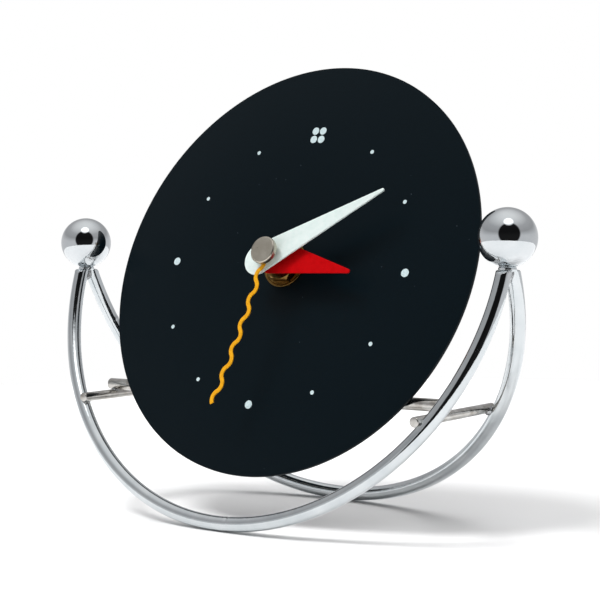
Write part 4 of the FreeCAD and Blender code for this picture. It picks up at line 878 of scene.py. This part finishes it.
put("contact_spring", mesh, nickel, "stand", "nickel",
    place=HEAD @ Matrix.Translation(Vector((SPRING_END, BAY_ROW, CELL_DEPTH)) * MM) @ ALONG_X)


# ---- camera, floor and light ----
# A white sweep under two broad lamps, one in front on the left and one behind, in a pale room with
# a bright panel overhead and a dark patch on the viewer's side.

camera = bpy.data.objects.new("camera", bpy.data.cameras.new("camera"))
bpy.context.scene.collection.objects.link(camera)
bpy.context.scene.camera = camera
camera.data.sensor_width = 36
camera.data.lens = 86.46
camera.data.clip_start = 0.01
CAMERA_AT = Vector((289.44, -381.1, 88.45))
right, ahead = Vector((0.80503, 0.59317, -0.00827)), Vector((-0.59305, 0.80438, -0.03563))
facing = Matrix((right, right.cross(ahead), -ahead)).transposed().to_4x4()
camera.matrix_world = Matrix.Translation(CAMERA_AT * MM) @ facing

FLOOR_RADIUS = 0.50
paper, shader = new_material("white_paper_sweep", "#f4f4f4", 0.0, 0.85, Specular_IOR_Level=0.1)
uneven(shader, 60.0, colours=("#f3f3f3", "#f6f6f6"))
built = bmesh.new()
bmesh.ops.create_circle(built, cap_ends=True, segments=96, radius=FLOOR_RADIUS)
floor = bpy.data.objects.new("floor", to_mesh(built, outward=False))
floor.data.materials.append(paper)
bpy.context.scene.collection.objects.link(floor)

for name, origin, spread, power in (("key", (-0.42, -0.50, 1.15), 20, 2.0),
                                    ("top", (0.00, 0.62, 1.20), 34, 0.8)):
    lamp = bpy.data.lights.new(name, "SUN")
    lamp.angle = math.radians(spread)
    lamp.energy = power
    holder = bpy.data.objects.new(name, lamp)
    bpy.context.scene.collection.objects.link(holder)
    holder.rotation_euler = (-Vector(origin)).to_track_quat("-Z", "Y").to_euler()
    # The chrome mirrors the bright panel of the room, and neither lamp leaves a disc in it.
    holder.visible_glossy = False

world = bpy.data.worlds.new("studio")
bpy.context.scene.world = world
world.use_nodes = True
tree = world.node_tree
tree.nodes.clear()
way = add(tree, "ShaderNodeTexCoord").outputs["Generated"]
height = add(tree, "ShaderNodeSeparateXYZ", {0: way}).outputs[2]
walls = add(tree, "ShaderNodeValToRGB", {0: height})
# How bright the room is, from level to straight overhead.
for place, grey in ((0.0, 0.72), (0.12, 0.66), (0.35, 0.42), (0.62, 0.50), (1.0, 0.70)):
    if place in (0.0, 1.0):
        step = walls.color_ramp.elements[int(place)]
    else:
        step = walls.color_ramp.elements.new(place)
    step.color = (grey, grey, grey * 1.02, 1)
DARK_PATCH, BRIGHT_PANEL = Vector((0.57, -0.78, 0.27)), Vector((0.28, -0.38, 0.88))
toward = add(tree, "ShaderNodeVectorMath", {0: way, 1: DARK_PATCH.normalized()},
             operation="DOT_PRODUCT")
patch = add(tree, "ShaderNodeMapRange", {"Value": toward.outputs[1], "From Min": 0.72,
                                         "From Max": 0.78, "To Min": 1.0, "To Max": 0.02})
over = add(tree, "ShaderNodeVectorMath", {0: way, 1: BRIGHT_PANEL.normalized()},
           operation="DOT_PRODUCT")
panel = add(tree, "ShaderNodeMapRange", {"Value": over.outputs[1], "From Min": 0.955,
                                         "From Max": 0.985, "To Min": 0.0, "To Max": 2.2})
both = add(tree, "ShaderNodeMath", {0: patch.outputs[0], 1: panel.outputs[0]}, operation="ADD")
room = add(tree, "ShaderNodeBackground", {"Color": walls.outputs[0], "Strength": both.outputs[0]})
clean = add(tree, "ShaderNodeBackground", {"Color": linear("#ffffff"), "Strength": 1.0})
seen = add(tree, "ShaderNodeLightPath").outputs["Is Camera Ray"]
either = add(tree, "ShaderNodeMixShader", {0: seen, 1: room.outputs[0], 2: clean.outputs[0]})
add(tree, "ShaderNodeOutputWorld", {"Surface": either.outputs[0]})
bpy.context.scene.view_settings.view_transform = "Standard"
